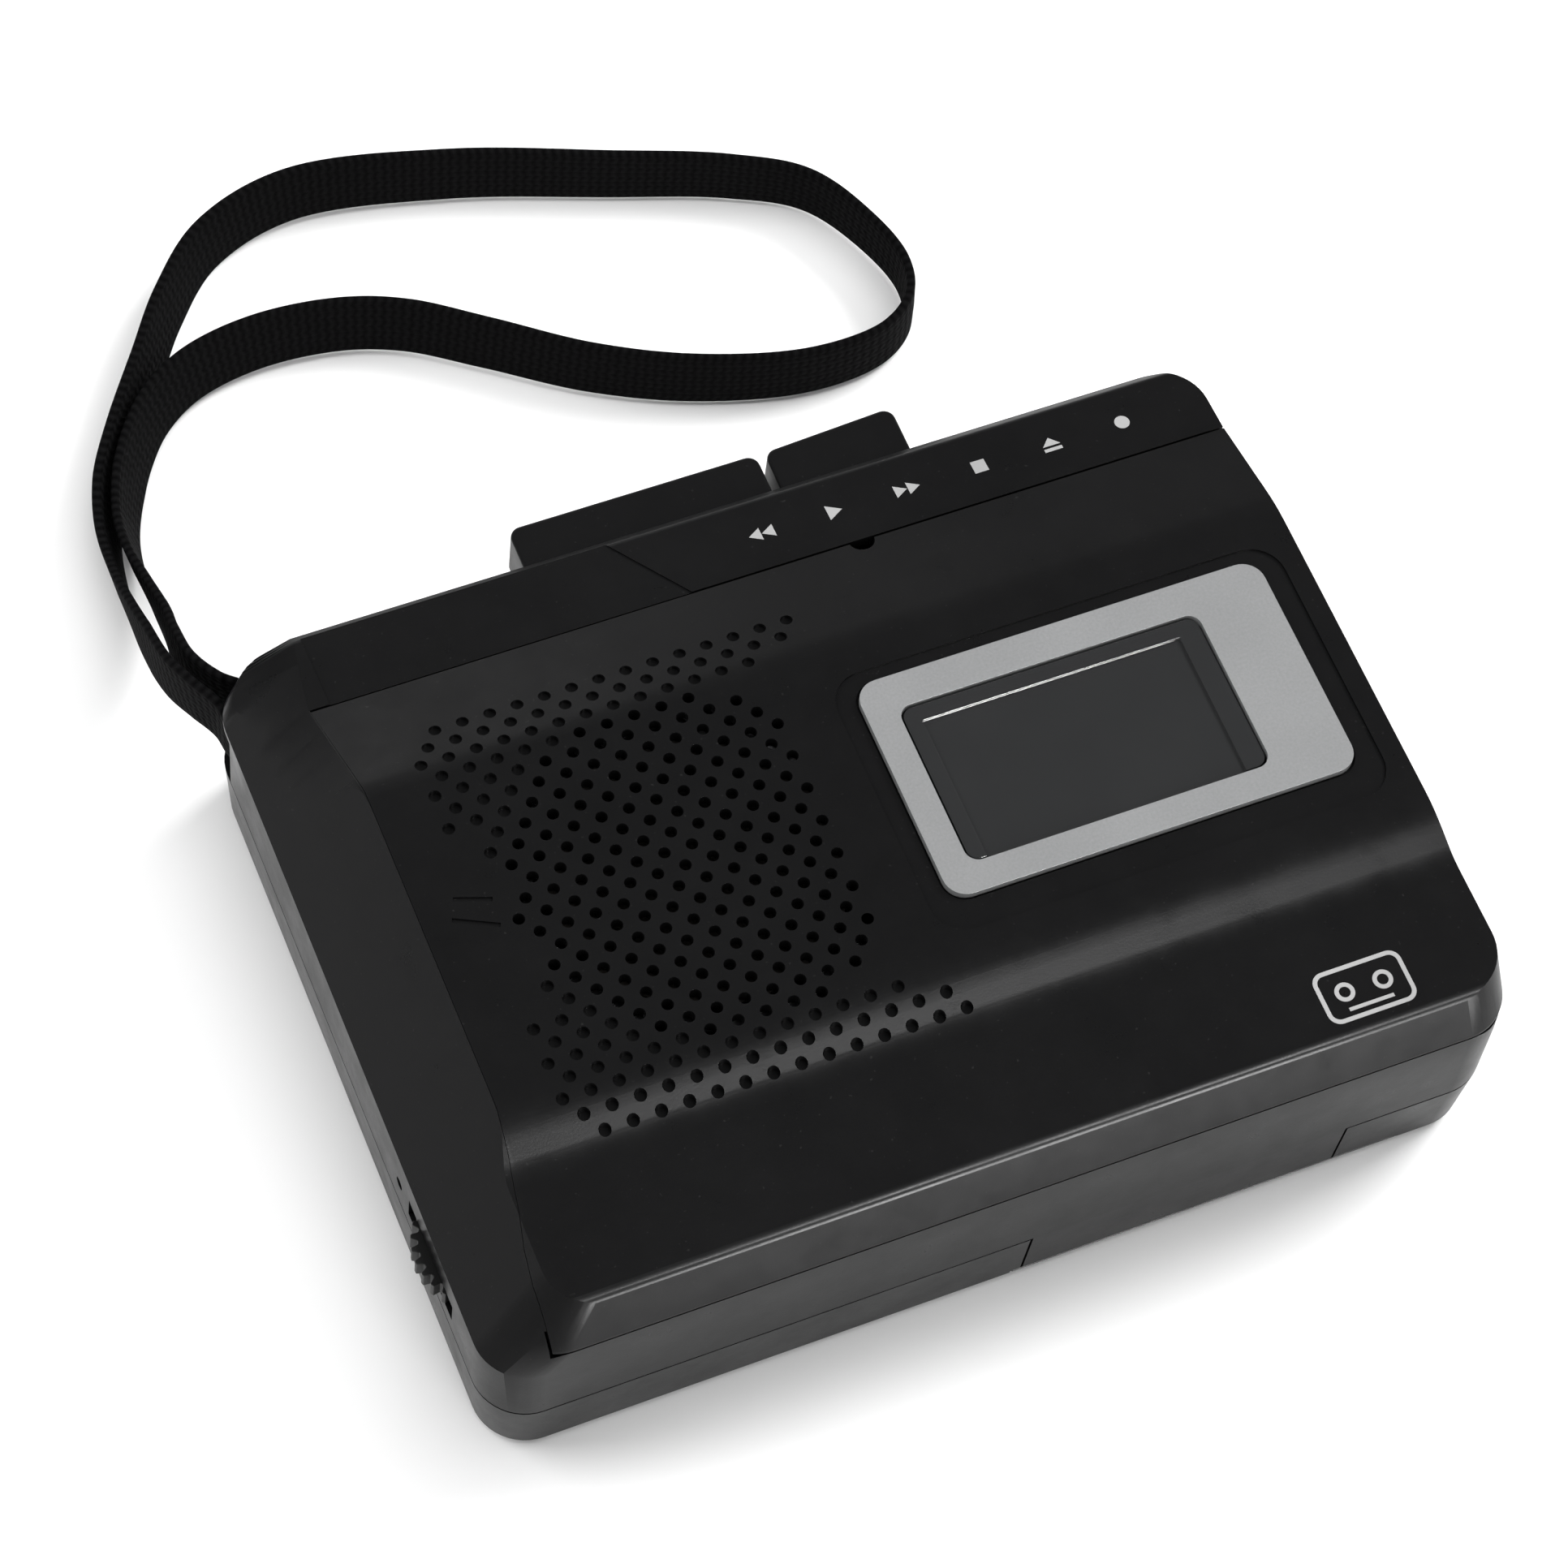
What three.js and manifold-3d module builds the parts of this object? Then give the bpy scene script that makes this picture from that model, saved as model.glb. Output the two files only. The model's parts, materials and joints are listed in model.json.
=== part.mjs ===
// Portable compact-cassette recorder with a wrist strap, lying on its back.
// Millimetres, +X right along the long side, +Y towards the keys, +Z up out of the front face.
// The origin is the centre of the underside.
import * as THREE from 'three';
import { ConvexGeometry } from 'three/addons/geometries/ConvexGeometry.js';
import { mergeVertices } from 'three/addons/utils/BufferGeometryUtils.js';
import Module from 'manifold-3d';

const wasm = await Module();
wasm.setup();

// ---------- driving dimensions ----------
const HALF_X = 60;            // half of the case's length
const HALF_Y = 45;            // half of the case's depth
const WALL = 1.6;             // moulded wall thickness
const GAP = 0.3;              // running or parting gap between neighbours
const BASE_R = 6;             // corner radius seen from above
const Z_PART = 10.3;          // parting line between front shell and rear cover
const Z_SHOULDER = 20;        // foot of the sloping left shoulder
const Z_LID = 23.9;           // lower edge of the lid and height of its hinge axis
const Z_TOP = 31.5;           // raised plateau of the lid
const Z_FLAT = 29.2;          // lower flat in front of the plateau
const RIDGE_X = -50;          // ridge between the left shoulder and the lid
const SEAM_Y = 34.6;          // rear edge of the lid
const Z_SEAM = 27.2;
const Z_REAR = 26.2;          // rear edge of the name strip
const FRONT_TOP_Y = -42;      // top edge of the sloping front facet
const HINGE_Y = -42.9;
const BARREL_R = 1.4;         // round lower edge of the lid, on the hinge axis
const KNUCKLES = [[-50.4, -47.4], [51, 54]];   // the case's own knuckles, along X
const KNUCKLE_R = 0.95;
const BARREL_X = [-47.1, 50.7];

const CASSETTE_X = 4.5;       // middle of the cassette bay
const HUB_SPAN = 42.5;        // distance between the two reel hubs
const CASSETTE_REST_Z = 15.2;

const SPEAKER = { x: -19.4, y: 0.8, r: 19.5 };
const GRILLE = { pitchX: 3.204, pitchY: 2.127, rows: 9, holeR: 0.66, fieldR: 21.2, right: -4.5,
  x0: -40.23, y0: 0.8 };
const FRAME = { x0: 4.4, x1: 53.8, y0: -13.2, y1: 14.85, r: 2.6 };
const WINDOW = { x0: 8, x1: 44.5, y0: -9.7, y1: 10.7, r: 1.6 };

const KEY_TRAVEL = 4;
const KEY_TIP_Y = 50.6;       // upper row
const KEY_ROW = { upper: { z0: 17.6, z1: 24.6, tip: KEY_TIP_Y }, lower: { z0: 10.9, z1: 15.9, tip: 48.8 } };
const KEYS = {
  play_key: { x0: -22.5, x1: 8.2, row: 'upper' },
  stop_eject_key: { x0: 8.9, x1: 25.4, row: 'upper', slant: 0.7 },
  rewind_key: { x0: -22.5, x1: -7.5, row: 'lower' },
  fast_forward_key: { x0: -6.8, x1: 8.2, row: 'lower' },
  record_key: { x0: 8.9, x1: 24.9, row: 'lower' },
};

const CAPSTAN = { x: -19, y: 27.8, r: 1 };
const FLYWHEEL_R = 13.5;
const MOTOR = { x: 25, y: 30, r: 10.4, pulleyR: 2.6 };
const BELT_Z = 3;
const TAKEUP_X = CASSETTE_X - HUB_SPAN / 2;
const SUPPLY_X = CASSETTE_X + HUB_SPAN / 2;
const GEAR = { capstanR: 3.6, idlerR: 6.35, reelR: 10.85, z0: 7, z1: 8.2 };
const PINCH = { x: -19, y: 38.6, r: 4, armX: -34 };
const WHEEL = { x: -54.3, y: -26.2, r: 7.5, z: 14.5, thick: 2.6 };
const DOOR = { x0: 1.8, x1: 49.2, y1: -20.8, thick: 1.5 };
const SKIRT = { x0: 3, x1: 41, z0: 1.8 };
const SCREWS = [[-54, -38], [-54, 29], [54, 38], [54, -38]];
const JACKS = { earphone_jack: 20, microphone_jack: 8, power_jack: -6 };
const JACK_Z = 6;
const STRAP = { width: 8, thick: 1.2 };
const STRAP_PIN = { x: -56.25, y: 41.4, r: 0.9 };

// ---------- materials ----------
const looks = {
  case: [0x1d1e1f, 0.42, 0], dark: [0x141414, 0.6, 0], silver: [0xb9bbbd, 0.35, 0.8],
  pane: [0x3a3c3e, 0.12, 0], steel: [0xb4b6b8, 0.28, 0.95], zinc: [0x9a9da0, 0.45, 0.85],
  rubber: [0x17181a, 0.85, 0], paper: [0x1c1b1a, 0.95, 0], board: [0x2c4a2e, 0.6, 0],
  brass: [0xb99a4b, 0.35, 0.9], white: [0xd9d8d2, 0.5, 0], strap: [0x101112, 0.95, 0],
};
const materials = Object.fromEntries(Object.entries(looks).map(([name, [color, roughness, metalness]]) =>
  [name, new THREE.MeshStandardMaterial({ name, color, roughness, metalness })]));

// ---------- solids ----------
function solid(geometry) {
  const bare = geometry.clone();
  bare.deleteAttribute('normal');
  bare.deleteAttribute('uv');
  const merged = mergeVertices(bare, 1e-4);
  return new wasm.Manifold(new wasm.Mesh({
    numProp: 3,
    vertProperties: new Float32Array(merged.attributes.position.array),
    triVerts: new Uint32Array(merged.index.array),
  }));
}

function geometryOf(body) {
  const mesh = body.getMesh();
  const geometry = new THREE.BufferGeometry();
  geometry.setAttribute('position', new THREE.BufferAttribute(mesh.vertProperties, 3));
  geometry.setIndex(new THREE.BufferAttribute(mesh.triVerts, 1));
  geometry.computeVertexNormals();
  return geometry;
}

const join = (...bodies) => bodies.reduce((sum, body) => sum.add(body));
const cut = (body, ...tools) => tools.reduce((rest, tool) => rest.subtract(tool), body);

function box(x0, x1, y0, y1, z0, z1) {
  const geometry = new THREE.BoxGeometry(x1 - x0, y1 - y0, z1 - z0);
  geometry.translate((x0 + x1) / 2, (y0 + y1) / 2, (z0 + z1) / 2);
  return solid(geometry);
}

// upright cylinder or cone
function disc(x, y, r, z0, z1, sides = 20, rTop = r) {
  const geometry = new THREE.CylinderGeometry(rTop, r, z1 - z0, sides);
  geometry.rotateX(Math.PI / 2);
  geometry.translate(x, y, (z0 + z1) / 2);
  return solid(geometry);
}

// cylinder along X
function rodX(y, z, r, x0, x1, sides = 12) {
  const geometry = new THREE.CylinderGeometry(r, r, x1 - x0, sides);
  geometry.rotateZ(Math.PI / 2);
  geometry.translate((x0 + x1) / 2, y, z);
  return solid(geometry);
}

function extruded(shape, depth, basis, origin) {
  const geometry = new THREE.ExtrudeGeometry(shape, { depth, bevelEnabled: false, curveSegments: 4 });
  const matrix = new THREE.Matrix4().makeBasis(...basis.map((v) => new THREE.Vector3(...v)));
  geometry.applyMatrix4(matrix.setPosition(...origin));
  return solid(geometry);
}

const shapeOf = (points) => new THREE.Shape(points.map(([a, b]) => new THREE.Vector2(a, b)));
// outlines in XY and YZ
const prismZ = (shape, z0, z1) => extruded(shape, z1 - z0, [[1, 0, 0], [0, 1, 0], [0, 0, 1]], [0, 0, z0]);
const prismX = (points, x0, x1) =>
  extruded(shapeOf(points), x1 - x0, [[0, 1, 0], [0, 0, 1], [1, 0, 0]], [x0, 0, 0]);

function roundedRect(x0, x1, y0, y1, r) {
  const shape = new THREE.Shape();
  shape.moveTo(x0 + r, y0);
  shape.lineTo(x1 - r, y0).absarc(x1 - r, y0 + r, r, -Math.PI / 2, 0);
  shape.lineTo(x1, y1 - r).absarc(x1 - r, y1 - r, r, 0, Math.PI / 2);
  shape.lineTo(x0 + r, y1).absarc(x0 + r, y1 - r, r, Math.PI / 2, Math.PI);
  shape.lineTo(x0, y0 + r).absarc(x0 + r, y0 + r, r, Math.PI, 1.5 * Math.PI);
  return shape;
}

// closed body through rings of points, all of one length, wound the same way
function loft(rings) {
  const count = rings[0].length;
  const positions = rings.flat(2);
  const index = [];
  for (let i = 0; i + 1 < rings.length; i++) {
    for (let j = 0; j < count; j++) {
      const a = i * count + j;
      const b = i * count + ((j + 1) % count);
      index.push(a, b, b + count, a, b + count, a + count);
    }
  }
  const last = (rings.length - 1) * count;
  for (let j = 1; j + 1 < count; j++) {
    index.push(0, j + 1, j);
    index.push(last, last + j, last + j + 1);
  }
  const geometry = new THREE.BufferGeometry();
  geometry.setAttribute('position', new THREE.Float32BufferAttribute(positions, 3));
  geometry.setIndex(index);
  return solid(geometry);
}

function lathe(profile, x, y, sides = 24) {
  const geometry = new THREE.LatheGeometry(profile.map(([r, z]) => new THREE.Vector2(r, z)), sides);
  geometry.rotateX(Math.PI / 2);
  geometry.translate(x, y, 0);
  return solid(geometry);
}

// toothed wheel: teeth as a wavy outline
function gear(x, y, r, z0, z1, teeth) {
  const points = [];
  for (let i = 0; i < teeth; i++) {
    for (const [step, radius] of [[0, r], [0.3, r], [0.5, r - 0.8], [0.8, r - 0.8]]) {
      const a = ((i + step) / teeth) * 2 * Math.PI;
      points.push([x + radius * Math.cos(a), y + radius * Math.sin(a)]);
    }
  }
  return prismZ(shapeOf(points), z0, z1);
}

// ---------- the case's outer form ----------
// One layer of the case seen from above: a rectangle with its own radius at each corner.
function layer(z, x0, x1, y0, y1, radii) {
  const corners = [[x0, y0, 1, 1, Math.PI], [x1, y0, -1, 1, 1.5 * Math.PI],
    [x1, y1, -1, -1, 0], [x0, y1, 1, -1, 0.5 * Math.PI]];
  return corners.flatMap(([x, y, sx, sy, start], i) => {
    const r = radii[i];
    return [0, 1, 2, 3, 4].map((k) => {
      const a = start + (k * Math.PI) / 8;
      return new THREE.Vector3(x + sx * r + r * Math.cos(a), y + sy * r + r * Math.sin(a), z);
    });
  });
}

// Convex envelope of the case, made smaller all round by inset.
function envelope(inset) {
  const t = inset;
  const r = BASE_R - t;
  const even = [r, r, r, r];
  return solid(new ConvexGeometry([
    ...layer(t, -HALF_X + 1.5 + t, HALF_X - 1.5 - t, -HALF_Y + 1.3 + t, HALF_Y - 1.3 - t, even),
    ...layer(1.3 + t / 2, -HALF_X + 0.5 + t, HALF_X - 0.5 - t, -HALF_Y + 0.4 + t, HALF_Y - 0.4 - t, even),
    ...layer(Z_PART, -HALF_X + t, HALF_X - t, -HALF_Y + t, HALF_Y - t, even),
    ...layer(Z_SHOULDER, -HALF_X + t, HALF_X - t, -HALF_Y + 0.2 + t, HALF_Y - t, even),
    ...layer(Z_LID, -56.6 + t, HALF_X - t, -HALF_Y + 0.5 + t, HALF_Y - t, [r, r, r, 3]),
    ...layer(Z_TOP + 0.2 - t, RIDGE_X - 0.2 + t, HALF_X - 0.8 - t, -40.6 + t, HALF_Y - t, [4, r, r, 1]),
  ]));
}

// Height of the top surface along Y: lower flat, step, plateau, falling band, name strip.
const TOP_LINE = [[-50, Z_FLAT - 0.1], [-26.4, Z_FLAT], [-24.7, 29.85], [-22.4, 30.8], [-20.7, 31.35],
  [-18.5, Z_TOP],
  [19.2, Z_TOP], [21.2, 31.3], [23.2, 30.75], [SEAM_Y, Z_SEAM], [HALF_Y - 1, Z_REAR], [HALF_Y + 0.2,
    Z_REAR - 1.2],
  [HALF_Y + 5, Z_REAR - 1.2]];

// X of the ridge between the top surface and the left shoulder
function ridgeAt(y) {
  if (y <= 21.2) return RIDGE_X;
  if (y <= SEAM_Y) return RIDGE_X - (1.4 * (y - 21.2)) / (SEAM_Y - 21.2);
  return RIDGE_X - 1.4 + (1.6 * Math.min(y - SEAM_Y, 9.4)) / 9.4;
}

// Everything above the top surface; behind the plateau it also slopes down over the left shoulder.
function sky(drop) {
  const far = 20;
  const rings = TOP_LINE.map(([y, top]) => {
    const z = top - drop;
    const shoulder = y > 20 ? z - far * ((z - Z_SHOULDER - 0.5 + drop) / 9.5) : z + 3;
    const ridge = ridgeAt(y) - 0.5;
    return [[ridge - far, y, 60], [70, y, 60], [70, y, z], [ridge, y, z], [ridge - far, y, shoulder]];
  });
  return loft(rings);
}

const outer = cut(envelope(0), sky(0));
const inner = cut(envelope(WALL), sky(WALL));
const skin = cut(outer, inner);

// The part of the skin that lifts with the lid; grow widens it all round.
function lidRegion(grow) {
  const left = RIDGE_X - 0.3 - grow;
  const outline = shapeOf([[left - 3, -60], [left - 3, -38], [left - 1.6, -30], [left, -19], [left, 21.2],
    [left - 1.4, SEAM_Y - GAP + grow], [70, SEAM_Y - GAP + grow], [70, -60]]);
  const lip = box(left - 3, 70, -60, -43.3 + grow, Z_LID - 0.45 - grow, Z_LID + 1);
  return join(prismZ(outline, Z_LID - grow, 50), lip);
}

// ---------- lid ----------
function grilleHoles() {
  const holes = [];
  for (let row = -GRILLE.rows; row <= GRILLE.rows; row++) {
    const y = GRILLE.y0 + row * GRILLE.pitchY;
    const shift = row % 2 === 0 ? 0 : GRILLE.pitchX / 2;
    for (let x = GRILLE.x0 + shift; x < GRILLE.right; x += GRILLE.pitchX) {
      if (Math.hypot(x - SPEAKER.x, y - SPEAKER.y) > GRILLE.fieldR) continue;
      holes.push(disc(x, y, GRILLE.holeR, Z_TOP - WALL - 1, Z_TOP + 1, 4));
    }
  }
  return holes;
}

function lidShell() {
  const knuckleWays = KNUCKLES.map(([x0, x1]) =>
    rodX(HINGE_Y, Z_LID, KNUCKLE_R + 0.25, x0 - GAP, x1 + GAP, 16));
  const plate = cut(skin.intersect(lidRegion(0)), ...knuckleWays);
  const barrel = rodX(HINGE_Y, Z_LID, BARREL_R, ...BARREL_X, 16);
  const skirtRoot = box(...BARREL_X, -43.6, -42.6, Z_LID, Z_LID + 1.6);
  const frameSeat = prismZ(roundedRect(FRAME.x0 - GAP, FRAME.x1 + GAP, FRAME.y0 - GAP, FRAME.y1 + GAP,
    FRAME.r + GAP), Z_TOP - 0.9, Z_TOP + 2);
  const sight = prismZ(roundedRect(WINDOW.x0 + 2.2, WINDOW.x1 - 2.7, WINDOW.y0 + 2, WINDOW.y1 - 1.8, 1),
    Z_TOP - 5, Z_TOP);
  const fingerNotch = disc(14.2, SEAM_Y - 0.2, 1.5, 24, 32, 12);
  const pinHoles = [rodX(HINGE_Y, Z_LID, 0.75, -48, -42, 8), rodX(HINGE_Y, Z_LID, 0.75, 45, 52, 8)];
  const ringSeat = cut(disc(SPEAKER.x, SPEAKER.y, SPEAKER.r + 1.5, 27.4, 30.2, 32),
    disc(SPEAKER.x, SPEAKER.y, SPEAKER.r + 0.4, 27, 30.4, 32));
  const latchHook = box(55.8, 57.6, 31.8, 33.9, 22.4, 26.8);
  const hookSlot = box(55, 59, 33.1, 35, 23.2, 24.4);
  return cut(join(plate, skirtRoot, barrel, ringSeat, latchHook), frameSeat, sight, fingerNotch,
    hookSlot, ...pinHoles, ...grilleHoles());
}

function windowFrame() {
  const ring = cut(
    prismZ(roundedRect(FRAME.x0, FRAME.x1, FRAME.y0, FRAME.y1, FRAME.r), Z_TOP - 0.6, Z_TOP + 0.4),
    prismZ(roundedRect(WINDOW.x0, WINDOW.x1, WINDOW.y0, WINDOW.y1, WINDOW.r), Z_TOP - 2, Z_TOP + 2));
  return ring;
}

function windowPane() {
  const g = GAP;
  const pane = prismZ(roundedRect(WINDOW.x0 + g, WINDOW.x1 - g, WINDOW.y0 + g, WINDOW.y1 - g, WINDOW.r - g),
    Z_TOP - 0.6, Z_TOP + 0.1);
  const well = box(WINDOW.x0 + 2.2, WINDOW.x1 - 3, WINDOW.y0 + g - 1, WINDOW.y1 - 2.2, Z_TOP - 0.25,
    Z_TOP + 1);
  return cut(pane, well);
}

function speakerBasket() {
  const r = SPEAKER.r;
  return lathe([[9.6, 25.4], [11, 25.4], [r - 1, 28.2], [r, 28.2], [r, 29.5], [r - 1.6, 29.5],
    [r - 2.2, 28.8],
    [11, 26.2], [9.6, 26.2]].concat([[9.6, 25.4]]), SPEAKER.x, SPEAKER.y, 28);
}

const coneR = (share) => SPEAKER.r * share;
const speakerCone = () => lathe([[0, 27.2], [5, 26.9], [coneR(0.55), 27.4], [coneR(0.85), 29.2],
  [coneR(0.85), 29.5],
  [coneR(0.5), 27.9], [5, 27.4], [0, 27.8]], SPEAKER.x, SPEAKER.y, 28);
const speakerMagnet = () => disc(SPEAKER.x, SPEAKER.y, 9.2, 24.7, 26.4, 24);

// bent leaf that holds the cassette down, fixed under the lid
function cassetteSpring(x) {
  return prismX([[-26, 27.3], [-20, 27.3], [-14, 25], [-10.5, 25], [-10.5, 25.3], [-13.8, 25.3],
    [-19.8, 27.6],
    [-26, 27.6]], x - 2.5, x + 2.5);
}

// ---------- case ----------
function frontShell() {
  const body = skin.intersect(box(-70, 70, -60, 60, Z_PART + GAP / 2, 50));
  const skirt = skin.intersect(box(SKIRT.x0, SKIRT.x1, -60, -43.3, SKIRT.z0, Z_PART + 1));
  const hingeGroove = rodX(HINGE_Y, Z_LID, 2.2, -53.6, 62, 16);
  const innerWall = prismX([[-40.5, 16.4], [34, 16.4], [34, 25.6], [22, 29.6], [-19, 29.6], [-22, 28],
    [-40.5, 26.8]], RIDGE_X - 1.9, RIDGE_X - 0.75).intersect(envelope(0.8));
  const knuckles = KNUCKLES.map(([x0, x1]) => join(rodX(HINGE_Y, Z_LID, KNUCKLE_R, x0, x1, 12),
    box(x0, x1, -42.5, -41.5, 19, Z_LID), box(x0, x1, -43.8, -41.5, 19, 21.3)));
  const bosses = SCREWS.map(([x, y]) => join(disc(x, y, 2.6, Z_PART + GAP / 2, 20, 10),
    box(Math.min(x, x * 1.09), Math.max(x, x * 1.09), y - 0.8, y + 0.8, Z_PART + GAP / 2, 19.6))
    .intersect(envelope(0.5)));
  const screwBores = SCREWS.map(([x, y]) => disc(x, y, 1.25, Z_PART - 1, 18, 10));
  const pocketBlock = box(-58.6, -51.4, 36.4, 43.6, Z_PART + GAP / 2, 20.4).intersect(envelope(0.5));
  const pocket = box(-64, -52.2, 37.8, 48, 10, 19.2);
  const pinHole = disc(STRAP_PIN.x, STRAP_PIN.y, 1.15, 11, 20, 10);
  const keyWindow = box(-23, 25.9, 40, 48, 17.1, 25.1);
  const lowerKeyWindow = box(-23, 25.9, 40, 48, Z_PART - 1, 16.4);
  const wheelSlot = box(-64, -50, WHEEL.y - 6.6, WHEEL.y + 6.6, WHEEL.z - 1.7, WHEEL.z + 1.7);
  const wheelRoom = disc(WHEEL.x, WHEEL.y, WHEEL.r + 0.5, WHEEL.z - 1.7, WHEEL.z + 1.7, 24);
  const micHole = rodX(-16.7, WHEEL.z, 0.8, -62, -57, 6);
  const stripRecess = stripPocket();
  const walls = cut(join(body, skirt, innerWall, pocketBlock, ...bosses), lidRegion(GAP), hingeGroove);
  return cut(join(walls, ...knuckles), pocket, pinHole, keyWindow, lowerKeyWindow, wheelSlot, wheelRoom,
    micHole, stripRecess, ...screwBores, ...hingePinHoles());
}

// shallow lowered field on the left part of the name strip, ending in a slanted step
function stripPocket() {
  const floor = (y) => Z_SEAM - 0.2 + ((y - SEAM_Y) * (Z_REAR - Z_SEAM)) / (HALF_Y - 1 - SEAM_Y);
  const ring = (y, right) => [[RIDGE_X + 0.6, y, floor(y)], [right, y, floor(y)], [right, y, 35],
    [RIDGE_X + 0.6, y, 35]];
  return loft([ring(SEAM_Y - 2, -5), ring(HALF_Y + 1, -14.3)].map((points) => points.slice().reverse()));
}

const hingePinHoles = () => KNUCKLES.map(([x0, x1]) => rodX(HINGE_Y, Z_LID, 0.65, x0 - 1, x1 + 1, 8));
const hingePin = (x0, x1) => rodX(HINGE_Y, Z_LID, 0.45, x0, x1, 8);

function rearCover() {
  const body = skin.intersect(box(-70, 70, -60, 60, -1, Z_PART - GAP / 2));
  const doorWay = box(DOOR.x0 - GAP, DOOR.x1 + GAP, -50, DOOR.y1 + GAP, -1, SKIRT.z0 - 0.1);
  const skirtWay = box(SKIRT.x0 - GAP, SKIRT.x1 + GAP, -50, -42.9, -1, 12);
  const bayLeft = box(0.3, DOOR.x0 - GAP, -43.6, -19.2, 1, 10);
  const bayRight = box(DOOR.x1 + GAP, 50.8, -43.6, -19.2, 1, 10);
  const bayRear = box(0.3, 50.8, DOOR.y1 + GAP, -19.2, 1, 10);
  const bosses = SCREWS.map(([x, y]) => disc(x, y, 2.6, 1, Z_PART - GAP / 2, 12).intersect(envelope(0.5)));
  const screwWays = SCREWS.flatMap(([x, y]) => [disc(x, y, 1.25, -1, 12, 10), disc(x, y, 2, -1, 1.2, 10)]);
  const jackWays = Object.values(JACKS).map((y) => rodX(y, JACK_Z, 2.3, 57, 62, 12));
  return cut(join(body, bayLeft, bayRight, bayRear, ...bosses), doorWay, skirtWay, ...screwWays, ...jackWays);
}

function batteryDoor() {
  const slab = outer.intersect(box(DOOR.x0, DOOR.x1, -60, DOOR.y1, -1, DOOR.thick));
  const grips = [0, 1, 2, 3, 4].map((i) => box(20, 31, -36 + i * 2, -35.2 + i * 2, -1, 0.4));
  return cut(slab, ...grips);
}

function caseScrew([x, y]) {
  return join(disc(x, y, 1.7, 0.35, 1, 12), disc(x, y, 0.95, 0.8, 15, 8));
}

// ---------- deck and drive ----------
function chassisPlate() {
  const plate = box(-46, 55.6, -18.4, 41.6, 10.7, 11.5);
  const holes = [disc(TAKEUP_X, 0, 2.2, 9, 13, 14), disc(SUPPLY_X, 0, 2.2, 9, 13, 14),
    disc(CAPSTAN.x, CAPSTAN.y, 2.6, 9, 13, 14), disc(-46, -18.4, 8, 9, 13, 10), disc(55.6, 41.6, 7.2,
      9, 13, 10)];
  const keyRelief = box(-23.4, 26.2, 39, 45, 9, 13);
  return cut(plate, ...holes, keyRelief);
}

const capstanBearing = () => cut(disc(CAPSTAN.x, CAPSTAN.y, 2.3, 9, 13.6, 14),
  disc(CAPSTAN.x, CAPSTAN.y, CAPSTAN.r + 0.15, 8, 15, 14));
const capstanShaft = () => disc(CAPSTAN.x, CAPSTAN.y, CAPSTAN.r, 2.2, 22.6, 14);

function flywheel() {
  const rim = lathe([[1.25, 2.4], [FLYWHEEL_R, 2.4], [FLYWHEEL_R, 2.6], [FLYWHEEL_R - 0.5, 3],
    [FLYWHEEL_R, 3.4],
    [FLYWHEEL_R, 5.4], [FLYWHEEL_R - 2.5, 5.4], [FLYWHEEL_R - 3, 4.4], [4.6, 4.4], [4.2, 6.6], [1.25, 6.6],
    [1.25, 2.4]], CAPSTAN.x, CAPSTAN.y, 32);
  const pinion = cut(gear(CAPSTAN.x, CAPSTAN.y, GEAR.capstanR, 6.5, GEAR.z1, 9),
    disc(CAPSTAN.x, CAPSTAN.y, 1.25, 5, 10, 14));
  return join(rim, pinion);
}

function idlerGear() {
  const place = idlerPlace();
  return cut(gear(place.x, place.y, GEAR.idlerR, GEAR.z0, GEAR.z1, 16), disc(place.x, place.y, 1.15, 5,
    10, 12));
}

// the idler sits on the line from the capstan to the take-up reel
function idlerPlace() {
  const from = new THREE.Vector2(CAPSTAN.x, CAPSTAN.y);
  const to = new THREE.Vector2(TAKEUP_X, 0);
  const along = (GEAR.capstanR + GEAR.idlerR + GAP) / from.distanceTo(to);
  return from.lerp(to, along);
}

const idlerPost = () => join(disc(idlerPlace().x, idlerPlace().y, 0.85, 6.6, 10.4, 10),
  disc(idlerPlace().x, idlerPlace().y, 2.2, 9.4, 10.4, 10));

// reel spindle: shaft, flange and three drive fins
function spindle(x) {
  const post = lathe([[0, 6.2], [1.2, 6.2], [1.2, 12], [1.9, 12], [1.9, 13.6], [4.6, 13.6], [4.6,
    14.5], [2.5, 14.5],
    [2.5, 20.2], [1.6, 22.4], [0, 22.6]], x, 0, 18);
  const fins = [0, 1, 2].map((i) => {
    const fin = new THREE.BoxGeometry(4, 0.8, 5.2);
    fin.translate(1.7, 0, 17);
    fin.rotateZ((i * 2 * Math.PI) / 3);
    fin.translate(x, 0, 0);
    return solid(fin);
  });
  return join(post, ...fins);
}

const reelGear = (x) => cut(gear(x, 0, GEAR.reelR, GEAR.z0, GEAR.z1, 27), disc(x, 0, 1.5, 5, 10, 14));

function motor() {
  return join(lathe([[1.4, 3.9], [MOTOR.r - 0.5, 3.9], [MOTOR.r, 4.4], [MOTOR.r, 10.4], [1.4, 10.4],
    [1.4, 3.9]],
    MOTOR.x, MOTOR.y, 28), box(MOTOR.x - 3, MOTOR.x + 3, MOTOR.y - MOTOR.r - 1.6,
      MOTOR.y - MOTOR.r + 1, 6, 9));
}

const motorPulley = () => join(lathe([[0, 2.2], [MOTOR.pulleyR + 0.6, 2.2], [MOTOR.pulleyR, 2.7],
  [MOTOR.pulleyR, 3.3], [MOTOR.pulleyR + 0.6, 3.6], [0, 3.6]], MOTOR.x, MOTOR.y, 20),
disc(MOTOR.x, MOTOR.y, 0.9, 3, 9.8, 12));

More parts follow.
